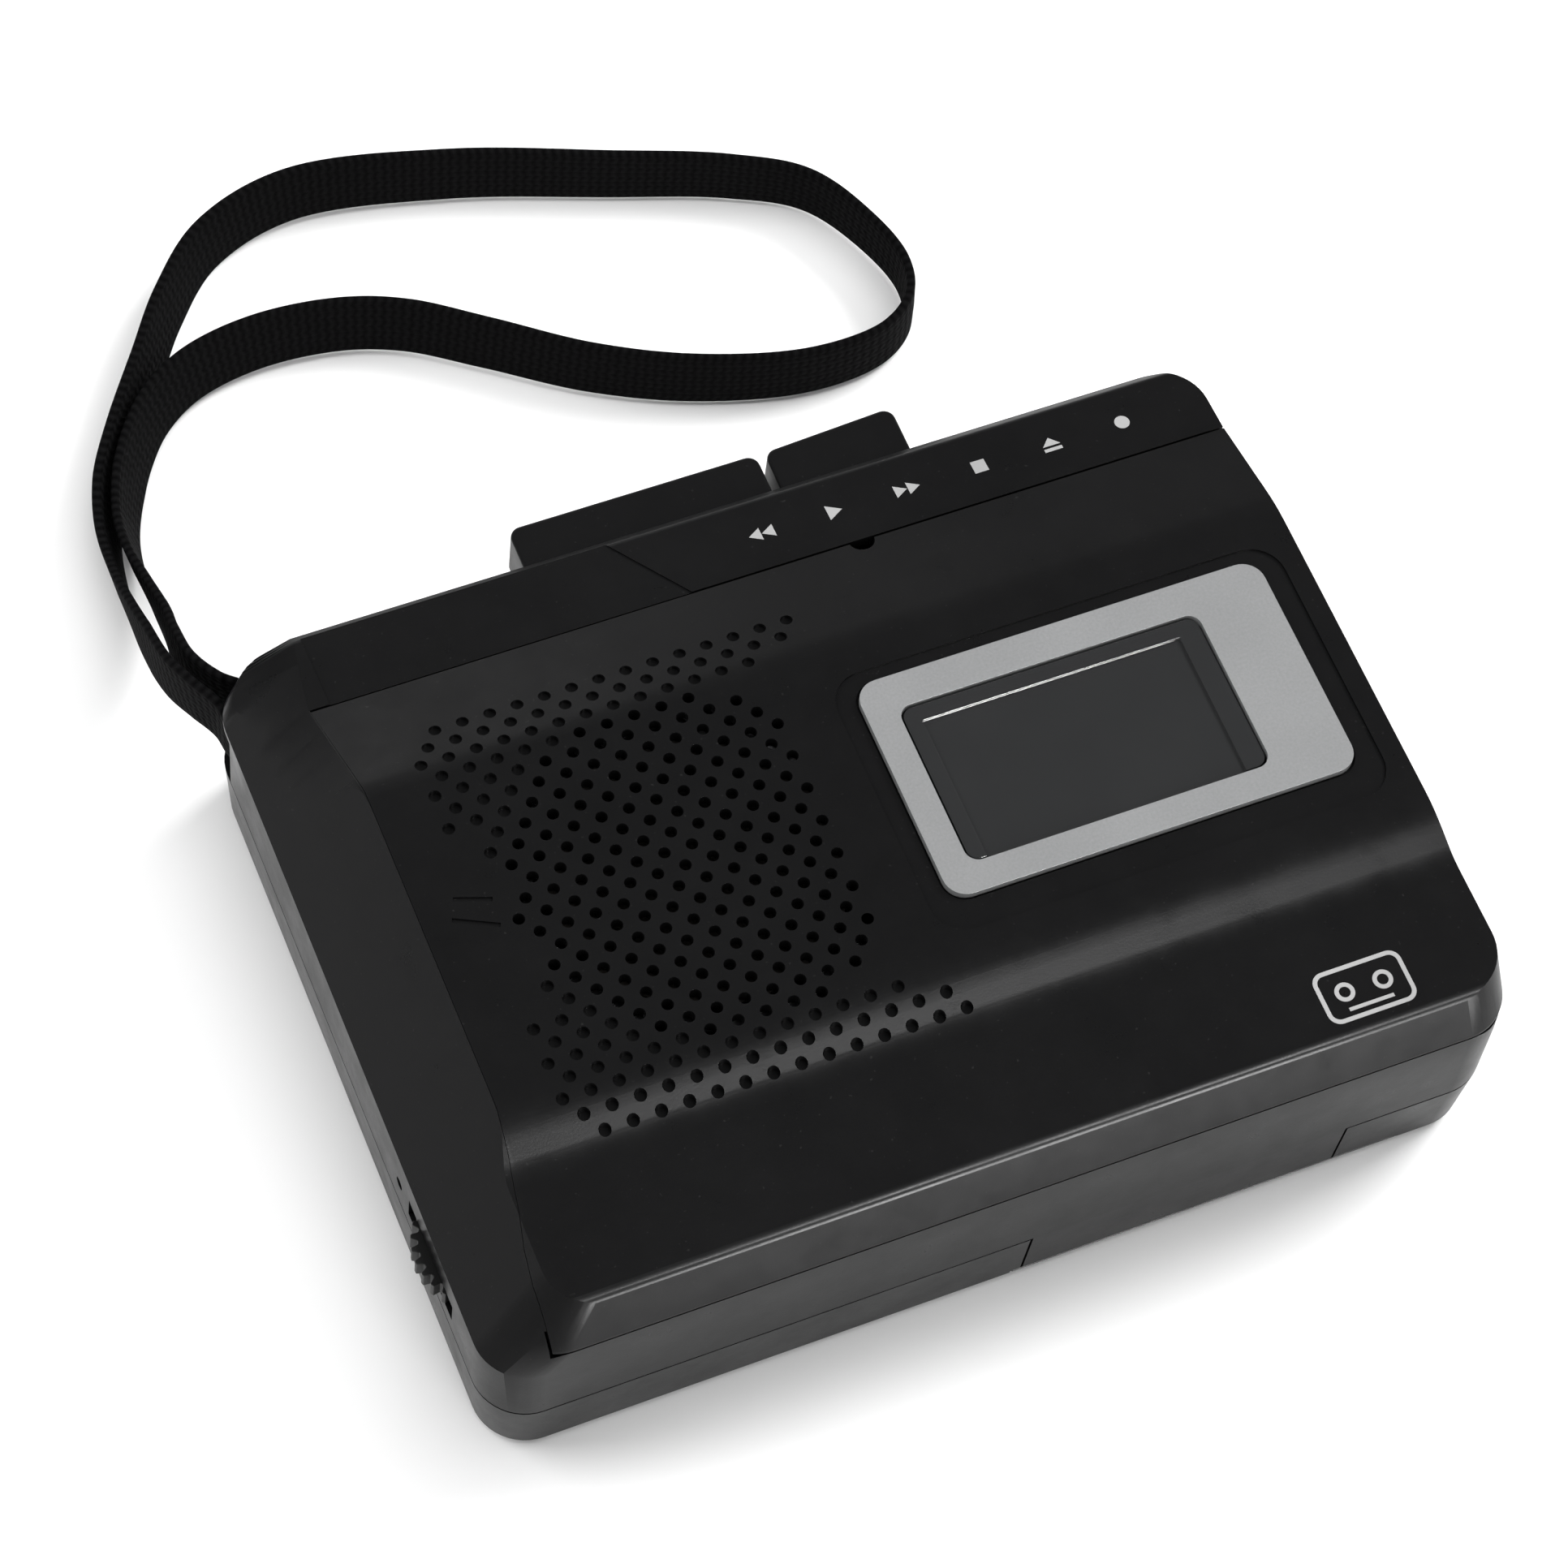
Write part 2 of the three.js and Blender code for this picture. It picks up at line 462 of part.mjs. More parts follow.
// square belt: the outline around both pulleys, less the same outline pulled in
function driveBelt() {
  const around = (grow) => {
    const points = [];
    const big = { x: CAPSTAN.x, y: CAPSTAN.y, r: FLYWHEEL_R + grow };
    const small = { x: MOTOR.x, y: MOTOR.y, r: MOTOR.pulleyR + 0.6 + grow };
    for (const [wheel, sides] of [[big, 28], [small, 12]]) {
      for (let i = 0; i < sides; i++) {
        const a = (i / sides) * 2 * Math.PI;
        for (const z of [BELT_Z - 0.4, BELT_Z + 0.4]) {
          points.push(new THREE.Vector3(wheel.x + wheel.r * Math.cos(a), wheel.y + wheel.r * Math.sin(a), z));
        }
      }
    }
    return new ConvexGeometry(points);
  };
  const hole = around(GAP).scale(1, 1, 3).translate(0, 0, -2 * BELT_Z);
  return cut(solid(around(GAP + 0.9)), solid(hole));
}

// ---------- head carriage ----------
const headPlate = () => cut(box(-10, 27, 30, 38.9, 12.1, 12.9), disc(4.5, 32.4, 1.1, 11, 14, 10),
  disc(14, 32.4, 1.1, 11, 14, 10));

function recordPlayHead() {
  const can = box(CASSETTE_X - 6, CASSETTE_X + 6, 36.6, 38.9, 13.2, 24);
  const nose = prismZ(shapeOf([[CASSETTE_X - 6, 36.7], [CASSETTE_X - 4, 35.4], [CASSETTE_X, 34.9],
    [CASSETTE_X + 4, 35.4], [CASSETTE_X + 6, 36.7]]), 16, 23);
  return join(can, nose);
}

const eraseHead = () => join(box(18, 23, 36.6, 38.9, 13.2, 22.6), box(19, 22, 35.2, 37, 17, 21.6));

function pinchArm() {
  const arm = prismZ(shapeOf([[PINCH.armX - 2.2, 34.6], [PINCH.x + 1.8, PINCH.y - 1.8], [PINCH.x + 1.8,
    PINCH.y + 1.6],
    [PINCH.armX, 39.8], [PINCH.armX - 2.2, 39]]), 16.3, 17.2);
  const hub = disc(PINCH.armX, 37.2, 2, 16.3, 19.6, 12);
  const pin = disc(PINCH.x, PINCH.y, 0.8, 17, 22.6, 10);
  return cut(join(arm, hub, pin), disc(PINCH.armX, 37.2, 1.15, 15, 21, 12));
}

const pinchPost = () => join(disc(PINCH.armX, 37.2, 0.85, 11.8, 20, 10), disc(PINCH.armX, 37.2, 1.6,
  11.8, 15.9, 10));
const pinchRoller = () => cut(disc(PINCH.x, PINCH.y, PINCH.r, 17.5, 22, 20), disc(PINCH.x, PINCH.y,
  1.1, 16, 24, 12));

// ---------- cassette bay ----------
// openings around the spindles, the capstan, the thumbwheel, a screw post and the moving head plate
const trayWays = () => [disc(TAKEUP_X, 0, 5.4, 11, 14, 18), disc(SUPPLY_X, 0, 5.4, 11, 14, 18),
  disc(CAPSTAN.x, CAPSTAN.y, 3.2, 11, 14, 14), disc(WHEEL.x, WHEEL.y, WHEEL.r + 0.6, 11, 20, 20),
  disc(54, -38, 3.2, 8, 24, 12), box(54, 58, -42, -36.8, 8, 24), box(-10.6, 27.6, 25.5, 30, 11, 14)];

function cassetteTray() {
  const floor = box(-46, 57.4, -29.6, 29, 12.6, 13.4);
  const batteryRoof = box(-45.9, 52, -29.6, -18.7, 11.9, 12.8);
  const rests = [[-38, -22], [47, -22], [-38, 23], [47, 23]].map(([x, y]) => disc(x, y, 1.8, 13,
    CASSETTE_REST_Z, 12));
  return cut(join(floor, batteryRoof, ...rests), ...trayWays());
}

// raised shelf in front of the bay, open below, that the cassette's closed edge stands against
function cassetteLedge() {
  const shelf = box(-46, 57.4, -41, -29.9, 11.9, 19.2);
  return cut(shelf, box(-44.8, 56.2, -39.8, -31.1, 11, 18), box(-50, -44.4, -34.5, -29, 11, 18),
    ...trayWays());
}

// ---------- keys ----------
function key({ x0, x1, row, slant = 0 }) {
  const { z0, z1, tip } = KEY_ROW[row];
  const round = 1.2;
  const cap = prismZ(shapeOf([[x0 + GAP / 2, 44], [x1 - GAP / 2, 44], [x1 - GAP / 2, tip + slant - round],
    [x1 - round * 0.6, tip + slant], [x0 + round, tip], [x0 + GAP / 2, tip - round * 1.3]]), z0, z1);
  const tail = box(x0 + 1, x1 - 1, 43.2, 44.2, z0 + 0.8, z1 - 0.8);
  const dish = row === 'upper' ? box(x0 + 2.5, x1 - 2.5, tip - 0.35, tip + 1, z0 + 1.6, z1 - 1.6) : null;
  return dish ? cut(join(cap, tail), dish) : join(cap, tail);
}

// stamped comb with one spring finger behind each pair of keys
function keySpringComb() {
  const rail = box(-35.5, 34, 41.8, 43, 8.6, 9);
  const fingers = [-29, 26].map((x) => box(x, x + 3, 41.8, 42.2, 8.6, 11.4));
  return join(rail, ...fingers);
}

// ---------- electrics ----------
function circuitBoard() {
  const board = box(-57.6, -2, -34, -4, 3.4, 4.6);
  const chips = [box(-40, -28, -30, -23, 4.4, 6.4), box(-20, -12, -28, -22, 4.4, 6.2), box(-46, -43,
    -14, -8, 4.4, 6.2)];
  const cans = [[-8, -29], [-8, -21], [-24, -15], [-33, -15]].map(([x, y]) => disc(x, y, 2.2, 4.4, 6.6, 12));
  return cut(join(board, ...chips, ...cans), disc(-54, -38, 4.5, 1, 8, 12));
}

const volumePot = () => disc(WHEEL.x, WHEEL.y, 3.1, 4.9, 12.4, 14);

function volumeWheel() {
  const z0 = WHEEL.z - WHEEL.thick / 2;
  const rim = gear(WHEEL.x, WHEEL.y, WHEEL.r, z0, z0 + WHEEL.thick, 30);
  const hollow = disc(WHEEL.x, WHEEL.y, WHEEL.r - 2, z0 + 1.4, z0 + 4, 20);
  const hub = disc(WHEEL.x, WHEEL.y, 1.6, z0 + 1, z0 + WHEEL.thick, 12);
  return join(cut(rim, hollow), hub);
}

const microphone = () => rodX(-16.7, WHEEL.z, 2.1, -58, -55.4, 14);

function jack(y) {
  const body = join(box(48.6, 57.6, y - 4, y + 4, 2.4, 9.8), rodX(y, JACK_Z, 1.95, 57, 59.2, 14));
  return cut(body, rodX(y, JACK_Z, 1.2, 50, 61, 12));
}

function batterySpring(y) {
  const coil = lathe([[0, 0], [3.2, 0], [3.2, 0.5], [2.7, 0.8], [2.9, 1.3], [2.3, 1.6], [2.5, 2.1],
    [1.9, 2.4],
    [0, 2.4]], 0, 0, 14);
  const turned = geometryOf(coil).rotateY(Math.PI / 2).translate(2.3, y, 6.9);
  return join(solid(turned), box(1.8, 2.5, y - 4, y + 4, 2.4, 11));
}

const batteryPlate = (y) => join(box(48.4, 49.1, y - 4, y + 4, 2.4, 11), rodX(y, 6.9, 1.6, 47.9, 48.6, 12));

// ---------- latch and strap ----------
const ejectLatch = () => join(box(55.9, 57.5, 36.4, 40, 22, 24.2), box(56, 57.4, 34.3, 37, 23.4, 24.2));

const strapPin = () => disc(STRAP_PIN.x, STRAP_PIN.y, STRAP_PIN.r, 11.2, 19.8, 10);

// The loop stands on its edge: it leaves the pin, runs away behind the case and comes back beside itself.
const STRAP_ROUTE = [[-57, 38.9, 15], [-58.6, 40.2, 15], [-59.3, 43.6, 14.9], [-61, 47.6, 14.2],
  [-62.3, 52, 12.6], [-62.8, 58, 10.2], [-62.8, 64, 7.4], [-62.5, 70, 5.2], [-61.6, 76.4, 4.3],
  [-59.4, 82.6, 4.3], [-55.6, 89, 4.3], [-50, 97, 4.3], [-44.6, 104.6, 4.3], [-37.2, 111.8, 4.3],
  [-25.6, 115.4, 4.3], [-6.2, 112, 4.3], [12.4, 105.6, 4.3], [26.4, 100.4, 4.3], [34.8, 95.4, 4.3],
  [39.4, 87.4, 4.3], [41.2, 80, 4.3], [39.8, 75, 4.3], [35.2, 71.6, 4.3], [25.4, 70.8, 4.3], [12, 74.2, 4.3],
  [0.4, 79.8, 4.3], [-10.4, 87.4, 4.3], [-18.6, 92.9, 4.3], [-26, 95.6, 4.3], [-36.2, 96.5, 4.3],
  [-45, 94.8, 4.3], [-50.6, 91.4, 4.3], [-54.4, 87, 4.3], [-57.3, 82, 4.3], [-59.2, 77, 4.4],
  [-59.9, 72, 5.2], [-59.8, 66, 6.9], [-59.8, 60.6, 9.1], [-60.1, 55.6, 11.4], [-59.7, 50.9, 13.4],
  [-57.9, 47, 14.6], [-55.2, 44.2, 15], [-53.9, 41.4, 15], [-54.5, 39.8, 15]];

// sideways lean of the strap, in radians, at a share of its length; upright near both ends
function strapLean(share) {
  const fade = (Math.min(share, 1 - share) - 0.06) / 0.08;
  return -0.42 * Math.cos(Math.PI * share) * Math.min(1, Math.max(0, fade));
}

function wristStrap() {
  const curve = new THREE.CatmullRomCurve3(STRAP_ROUTE.map((p) => new THREE.Vector3(...p)));
  const steps = 72;
  const rings = [];
  for (let i = 0; i <= steps; i++) {
    const at = curve.getPointAt(i / steps);
    const along = curve.getTangentAt(i / steps);
    const side = new THREE.Vector3(along.y, -along.x, 0).normalize();
    const up = new THREE.Vector3().crossVectors(side, along).normalize();
    const lean = strapLean(i / steps);
    const across = side.clone().multiplyScalar(Math.cos(lean)).addScaledVector(up, -Math.sin(lean));
    const wide = up.clone().multiplyScalar(Math.cos(lean)).addScaledVector(side, Math.sin(lean));
    rings.unshift(flatSection().map(([a, b]) => {
      const p = at.clone().addScaledVector(across, a).addScaledVector(wide, b);
      return [p.x, p.y, p.z];
    }));
  }
  return loft(rings);
}

// eight-sided section of the strap: thickness across, width upright
function flatSection() {
  const t = STRAP.thick / 2;
  const w = STRAP.width / 2;
  return [[t, -w + 0.4], [t, w - 0.4], [t / 2, w], [-t / 2, w], [-t, w - 0.4], [-t, -w + 0.4], [-t / 2, -w],
    [t / 2, -w]];
}

// ---------- assembly ----------
const recorder = new THREE.Group();
recorder.name = 'cassette_recorder';

function add(name, body, look) {
  const mesh = new THREE.Mesh(geometryOf(body), materials[look]);
  mesh.name = name;
  recorder.add(mesh);
}

add('front_shell', frontShell(), 'case');
add('rear_cover', rearCover(), 'case');
add('battery_door', batteryDoor(), 'case');
add('lid_shell', lidShell(), 'case');
add('window_frame', windowFrame(), 'silver');
add('window_pane', windowPane(), 'pane');
add('speaker_basket', speakerBasket(), 'zinc');
add('speaker_cone', speakerCone(), 'paper');
add('speaker_magnet', speakerMagnet(), 'zinc');
add('cassette_spring_left', cassetteSpring(-33), 'steel');
add('cassette_spring_right', cassetteSpring(48), 'steel');
add('hinge_pin_left', hingePin(-50.2, -42.4), 'steel');
add('hinge_pin_right', hingePin(46, 53.8), 'steel');
add('chassis_plate', chassisPlate(), 'zinc');
add('cassette_tray', cassetteTray(), 'dark');
add('cassette_ledge', cassetteLedge(), 'dark');
add('capstan_bearing', capstanBearing(), 'brass');
add('capstan_shaft', capstanShaft(), 'steel');
add('flywheel', flywheel(), 'zinc');
add('idler_post', idlerPost(), 'steel');
add('idler_gear', idlerGear(), 'white');
add('takeup_spindle', spindle(TAKEUP_X), 'white');
add('takeup_gear', reelGear(TAKEUP_X), 'white');
add('supply_spindle', spindle(SUPPLY_X), 'white');
add('supply_gear', reelGear(SUPPLY_X), 'white');
add('motor', motor(), 'zinc');
add('motor_pulley', motorPulley(), 'brass');
add('drive_belt', driveBelt(), 'rubber');
add('head_plate', headPlate(), 'zinc');
add('record_play_head', recordPlayHead(), 'steel');
add('erase_head', eraseHead(), 'dark');
add('pinch_post', pinchPost(), 'steel');
add('pinch_arm', pinchArm(), 'zinc');
add('pinch_roller', pinchRoller(), 'rubber');
Object.entries(KEYS).forEach(([name, place]) => add(name, key(place), 'case'));
add('key_spring_comb', keySpringComb(), 'steel');
add('circuit_board', circuitBoard(), 'board');
add('volume_pot', volumePot(), 'zinc');
add('volume_wheel', volumeWheel(), 'dark');
add('microphone', microphone(), 'zinc');
Object.entries(JACKS).forEach(([name, y]) => add(name, jack(y), 'dark'));
add('battery_spring_front', batterySpring(-37.6), 'steel');
add('battery_spring_rear', batterySpring(-27), 'steel');
add('battery_plate_front', batteryPlate(-37.6), 'steel');
add('battery_plate_rear', batteryPlate(-27), 'steel');
SCREWS.forEach((place, i) => add(`case_screw_${i + 1}`, caseScrew(place), 'steel'));
add('eject_latch', ejectLatch(), 'dark');
add('strap_pin', strapPin(), 'steel');
add('wrist_strap', wristStrap(), 'strap');

export default recorder;
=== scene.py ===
"""Looks for the portable cassette recorder. Lengths are millimetres until place() turns them into metres."""
import bmesh
import bpy
import json
import math
from mathutils import Matrix, Vector

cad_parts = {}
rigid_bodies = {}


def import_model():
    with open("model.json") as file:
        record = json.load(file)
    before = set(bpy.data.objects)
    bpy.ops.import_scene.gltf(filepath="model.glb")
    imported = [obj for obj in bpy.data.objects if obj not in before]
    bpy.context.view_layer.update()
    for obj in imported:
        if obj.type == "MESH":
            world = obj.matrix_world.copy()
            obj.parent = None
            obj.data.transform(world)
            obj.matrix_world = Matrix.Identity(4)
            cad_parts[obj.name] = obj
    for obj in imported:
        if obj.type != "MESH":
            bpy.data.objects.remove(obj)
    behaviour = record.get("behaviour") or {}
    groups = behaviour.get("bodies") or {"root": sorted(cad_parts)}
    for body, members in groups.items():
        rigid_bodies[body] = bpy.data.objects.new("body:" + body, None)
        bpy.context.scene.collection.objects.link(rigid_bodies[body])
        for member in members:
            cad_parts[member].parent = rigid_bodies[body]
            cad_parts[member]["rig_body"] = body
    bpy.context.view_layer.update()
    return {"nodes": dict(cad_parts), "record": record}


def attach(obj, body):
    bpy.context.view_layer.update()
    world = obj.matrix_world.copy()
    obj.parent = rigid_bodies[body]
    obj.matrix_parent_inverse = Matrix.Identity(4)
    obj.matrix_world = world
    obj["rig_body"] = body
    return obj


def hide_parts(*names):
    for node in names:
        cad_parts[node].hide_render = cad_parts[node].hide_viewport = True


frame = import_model()
scene = bpy.context.scene
MM = 0.001

# ---------- camera ----------
back = Vector((-0.2478, -0.4158, 0.8750)).normalized()
right = Vector((0.9219, -0.3789, 0.0810))
right = (right - back * right.dot(back)).normalized()
up = back.cross(right)
camera = bpy.data.objects.new("camera", bpy.data.cameras.new("camera"))
scene.collection.objects.link(camera)
camera_place = Matrix.Translation(Vector((-143.65, -222.6, 513.3)) * MM)
camera.matrix_world = camera_place @ Matrix((right, up, back)).transposed().to_4x4()
camera.data.sensor_width = 36
camera.data.lens = 116.05
camera.data.clip_start = 0.05
scene.camera = camera


# ---------- materials ----------
class Nodes:
    """A material's node tree, with short calls for the nodes used here."""

    def __init__(self, name):
        self.material = bpy.data.materials.new(name)
        self.material.use_nodes = True
        self.tree = self.material.node_tree
        self.shader = self.tree.nodes["Principled BSDF"]
        self.space = self.tree.nodes.new("ShaderNodeTexCoord").outputs["Object"]

    def add(self, kind, inputs=(), **settings):
        node = self.tree.nodes.new("ShaderNode" + kind)
        for key, value in settings.items():
            setattr(node, key, value)
        for key, value in dict(inputs).items():
            if isinstance(value, bpy.types.NodeSocket):
                self.tree.links.new(value, node.inputs[key])
            else:
                node.inputs[key].default_value = value
        return node

    def noise(self, scale, detail=3.0, rough=0.5, vector=None):
        return self.add("TexNoise", {"Vector": vector or self.space, "Scale": scale, "Detail": detail,
                                     "Roughness": rough}).outputs["Fac"]

    def span(self, value, low, high, start=0.0, end=1.0):
        return self.add("MapRange", {"Value": value, "From Min": start, "From Max": end, "To Min": low,
                                     "To Max": high}).outputs["Result"]

    def math(self, operation, a, b=0.0):
        return self.add("Math", {0: a, 1: b}, operation=operation).outputs[0]

    def blend(self, factor, a, b):
        node = self.add("Mix", {"Factor": factor}, data_type="RGBA")
        for index, value in ((6, a), (7, b)):
            if isinstance(value, bpy.types.NodeSocket):
                self.tree.links.new(value, node.inputs[index])
            else:
                node.inputs[index].default_value = (*value, 1)
        return node.outputs[2]

    def bump(self, height, distance, strength=1.0, before=None):
        inputs = {"Height": height, "Distance": distance, "Strength": strength}
        if before:
            inputs["Normal"] = before
        return self.add("Bump", inputs).outputs["Normal"]

    def put(self, **inputs):
        for key, value in inputs.items():
            socket = self.shader.inputs[key.replace("_", " ")]
            if isinstance(value, bpy.types.NodeSocket):
                self.tree.links.new(value, socket)
            else:
                socket.default_value = (*value, 1) if isinstance(value, tuple) else value
        return self.material


def plastic(name, dark, light, rough, grain, depth, specular=0.5):
    """Moulded plastic: fine spark-eroded grain, faint cloudy wear and a few dust specks."""
    n = Nodes(name)
    cloud = n.noise(45, 4)
    fine = n.noise(grain, 2, 0.6)
    specks = n.span(n.noise(2100, 1), 0, 1, 0.735, 0.78)
    colour = n.blend(n.span(cloud, 0, 1, 0.3, 0.7), dark, light)
    colour = n.blend(n.math("MULTIPLY", specks, 0.015), colour, (0.5, 0.5, 0.48))
    worn = n.span(n.noise(160, 5, 0.7), rough - 0.05, rough + 0.09, 0.25, 0.75)
    normal = n.bump(fine, depth, 0.5, n.bump(n.noise(55, 2), 0.00002, 0.12))
    return n.put(Base_Color=colour, Roughness=worn, Normal=normal, Specular_IOR_Level=specular)


def metal(name, dark, light, rough, stretch=(1, 1, 1), grain=900, depth=0.00001, metallic=1.0):
    """Metal with fine drawn or blasted grain."""
    n = Nodes(name)
    vector = n.add("Mapping", {"Vector": n.space, "Scale": stretch}).outputs["Vector"]
    grain_fac = n.noise(grain, 4, 0.6, vector)
    colour = n.blend(n.span(grain_fac, 0, 1, 0.25, 0.75), dark, light)
    roughness = n.span(n.noise(120, 4), rough - 0.06, rough + 0.1, 0.3, 0.7)
    return n.put(Base_Color=colour, Roughness=roughness, Metallic=metallic,
                 Normal=n.bump(grain_fac, depth, 0.5))


def webbing(name):
    """Woven strap: ribs across, two warp rows along, from the strip's own coordinates in metres."""
    n = Nodes(name)
    uv = n.add("SeparateXYZ", {"Vector": n.add("UVMap", uv_map="weave").outputs["UV"]})
    along, across = uv.outputs["X"], uv.outputs["Y"]
    chevron = n.math("ABSOLUTE", n.math("SINE", n.math("MULTIPLY", across, math.pi / 0.0016)))
    phase = n.math("ADD", n.math("MULTIPLY", along, 2 * math.pi / 0.00115), n.math("MULTIPLY", chevron, 1.9))
    rib = n.math("ADD", n.math("MULTIPLY", n.math("SINE", phase), 0.5), 0.5)
    warp = n.math("ABSOLUTE", n.math("SINE", n.math("MULTIPLY", across, math.pi / 0.0008)))
    fuzz = n.noise(5200, 3, 0.7)
    height = n.math("ADD", n.math("ADD", n.math("MULTIPLY", rib, 0.7), n.math("MULTIPLY", warp, 0.3)),
                    n.math("MULTIPLY", fuzz, 0.35))
    colour = n.blend(rib, (0.0010, 0.0010, 0.0011), (0.0042, 0.0042, 0.0044))
    colour = n.blend(n.span(fuzz, 0, 0.35, 0.55, 0.8), colour, (0.011, 0.011, 0.0115))
    return n.put(Base_Color=colour, Roughness=0.85, Normal=n.bump(height, 0.00022, 0.9), Sheen_Weight=0.0,
                 Specular_IOR_Level=0.05)


def window():
    """Smoke-tinted clear plastic over a dark bay."""
    n = Nodes("window_smoke")
    smudge = n.noise(60, 5, 0.65)
    return n.put(Base_Color=n.blend(smudge, (0.018, 0.0185, 0.019), (0.022, 0.0225, 0.023)),
                 Roughness=n.span(smudge, 0.04, 0.16, 0.3, 0.7), Specular_IOR_Level=0.7, Coat_Weight=0.6,
                 Coat_Roughness=0.05, Normal=n.bump(n.noise(35, 1), 0.00003, 0.2))


def board():
    """Green laminate with copper tracks under lacquer."""
    n = Nodes("board_lacquer")
    tracks = n.add("TexVoronoi", {"Vector": n.space, "Scale": 260, "Randomness": 0.35}, distance="CHEBYCHEV",
                   feature="F1").outputs["Distance"]
    mask = n.span(tracks, 0, 1, 0.42, 0.47)
    return n.put(Base_Color=n.blend(mask, (0.02, 0.11, 0.035), (0.05, 0.2, 0.06)), Roughness=0.38,
                 Normal=n.bump(mask, 0.00004, 0.8))


looks = {
    "case_plastic": plastic("case_black", (0.0050, 0.0050, 0.0052), (0.0060, 0.0060, 0.0062), 0.30, 3600,
                            0.000012, 0.13),
    "dark_plastic": plastic("inner_black", (0.006, 0.006, 0.006), (0.011, 0.011, 0.011), 0.5, 1500, 0.00003),
    "key_plastic": plastic("key_black", (0.0050, 0.0050, 0.0052), (0.0062, 0.0062, 0.0064), 0.34, 3600,
                           0.000012, 0.1),
    "silver_frame": metal("frame_silver", (0.195, 0.198, 0.20), (0.235, 0.238, 0.24), 0.38, grain=3200,
                          depth=0.000012, metallic=0.15),
    "clear_window": window(),
    "zinc_plate": metal("plated_sheet", (0.32, 0.33, 0.34), (0.44, 0.45, 0.46), 0.38, (1, 6, 1), 500),
    "steel": metal("bright_steel", (0.44, 0.44, 0.45), (0.60, 0.60, 0.61), 0.24, (1, 1, 8), 700),
    "brass": metal("turned_brass", (0.50, 0.34, 0.11), (0.68, 0.50, 0.20), 0.28, (1, 1, 8), 700),
    "speaker_paper": plastic("pressed_paper", (0.011, 0.010, 0.009), (0.026, 0.023, 0.02), 0.85, 900, 0.0001,
                             0.2),
    "rubber": plastic("soft_rubber", (0.008, 0.008, 0.008), (0.014, 0.014, 0.014), 0.72, 1200, 0.00003, 0.3),
    "white_plastic": plastic("acetal_white", (0.56, 0.55, 0.51), (0.66, 0.65, 0.61), 0.42, 900, 0.00001),
    "board": board(),
    "strap_webbing": webbing("strap_weave"),
    "print": plastic("printed_marks", (0.26, 0.26, 0.26), (0.32, 0.32, 0.32), 0.6, 1200, 0.00001),
}
slot_of = {s["node"]: s["material_slot"] for s in frame["record"]["subparts"]}


# ---------- building ----------
def mesh_object(name, bm):
    mesh = bpy.data.meshes.new(name)
    bmesh.ops.recalc_face_normals(bm, faces=bm.faces)
    bm.to_mesh(mesh)
    bm.free()
    piece = bpy.data.objects.new(name, mesh)
    scene.collection.objects.link(piece)
    return piece


def solid(points, faces, triangles=False):
    bm = bmesh.new()
    verts = [bm.verts.new(p) for p in points]
    for face in faces:
        bm.faces.new([verts[i] for i in face])
    if triangles:
        bmesh.ops.triangulate(bm, faces=bm.faces)
    return mesh_object("tool", bm)


def prism(outline, low, high, place):
    """Closed prism over a 2-D outline; place turns (a, b, height) into a point."""
    count = len(outline)
    points = [place(a, b, low) for a, b in outline] + [place(a, b, high) for a, b in outline]
    faces = [tuple(range(count))[::-1], tuple(range(count, 2 * count))]
    faces += [(i, (i + 1) % count, (i + 1) % count + count, i + count) for i in range(count)]
    return solid(points, faces)


def prism_z(outline, z0, z1):
    return prism(outline, z0, z1, lambda a, b, h: (a, b, h))


def prism_x(outline, x0, x1):
    return prism(outline, x0, x1, lambda a, b, h: (h, a, b))


def box(x0, x1, y0, y1, z0, z1):
    return prism_z([(x0, y0), (x1, y0), (x1, y1), (x0, y1)], z0, z1)


def circle(x, y, r, sides=24):
    return [(x + r * math.cos(2 * math.pi * i / sides), y + r * math.sin(2 * math.pi * i / sides))
            for i in range(sides)]


def disc(x, y, r, z0, z1, sides=32):
    return prism_z(circle(x, y, r, sides), z0, z1)


def rod_x(y, z, r, x0, x1, sides=32):
    return prism_x(circle(y, z, r, sides), x0, x1)


def rounded(x0, x1, y0, y1, r, steps=8):
    outline = []
    corners = ((x1 - r, y0 + r, -90), (x1 - r, y1 - r, 0), (x0 + r, y1 - r, 90), (x0 + r, y0 + r, 180))
    for x, y, start in corners:
        for k in range(steps + 1):
            a = math.radians(start + 90 * k / steps)
            outline.append((x + r * math.cos(a), y + r * math.sin(a)))
    return outline


def boolean(base, operation, tools):
    """base joined with or cut by each tool in turn; the tools are used up."""
    tools = list(tools)
    for tool in tools:
        modifier = base.modifiers.new("boolean", "BOOLEAN")
        modifier.operation, modifier.solver, modifier.object = operation, "MANIFOLD", tool
    bpy.context.view_layer.update()
    made = bpy.data.meshes.new_from_object(base.evaluated_get(bpy.context.evaluated_depsgraph_get()))
    base.modifiers.clear()
    base.data = made
    for tool in tools:
        bpy.data.objects.remove(tool)
    return base


def join(base, *tools):
    return boolean(base, "UNION", tools) if tools else base


def cut(base, *tools):
    return boolean(base, "DIFFERENCE", tools) if tools else base


def both(base, tool):
    return boolean(base, "INTERSECT", [tool])


def copy_of(piece):
    twin = piece.copy()
    twin.data = piece.data.copy()
    scene.collection.objects.link(twin)
    return twin


WELD = 0.004            # mm
FLAT_ANGLE = 0.6        # degrees between faces that count as one flat


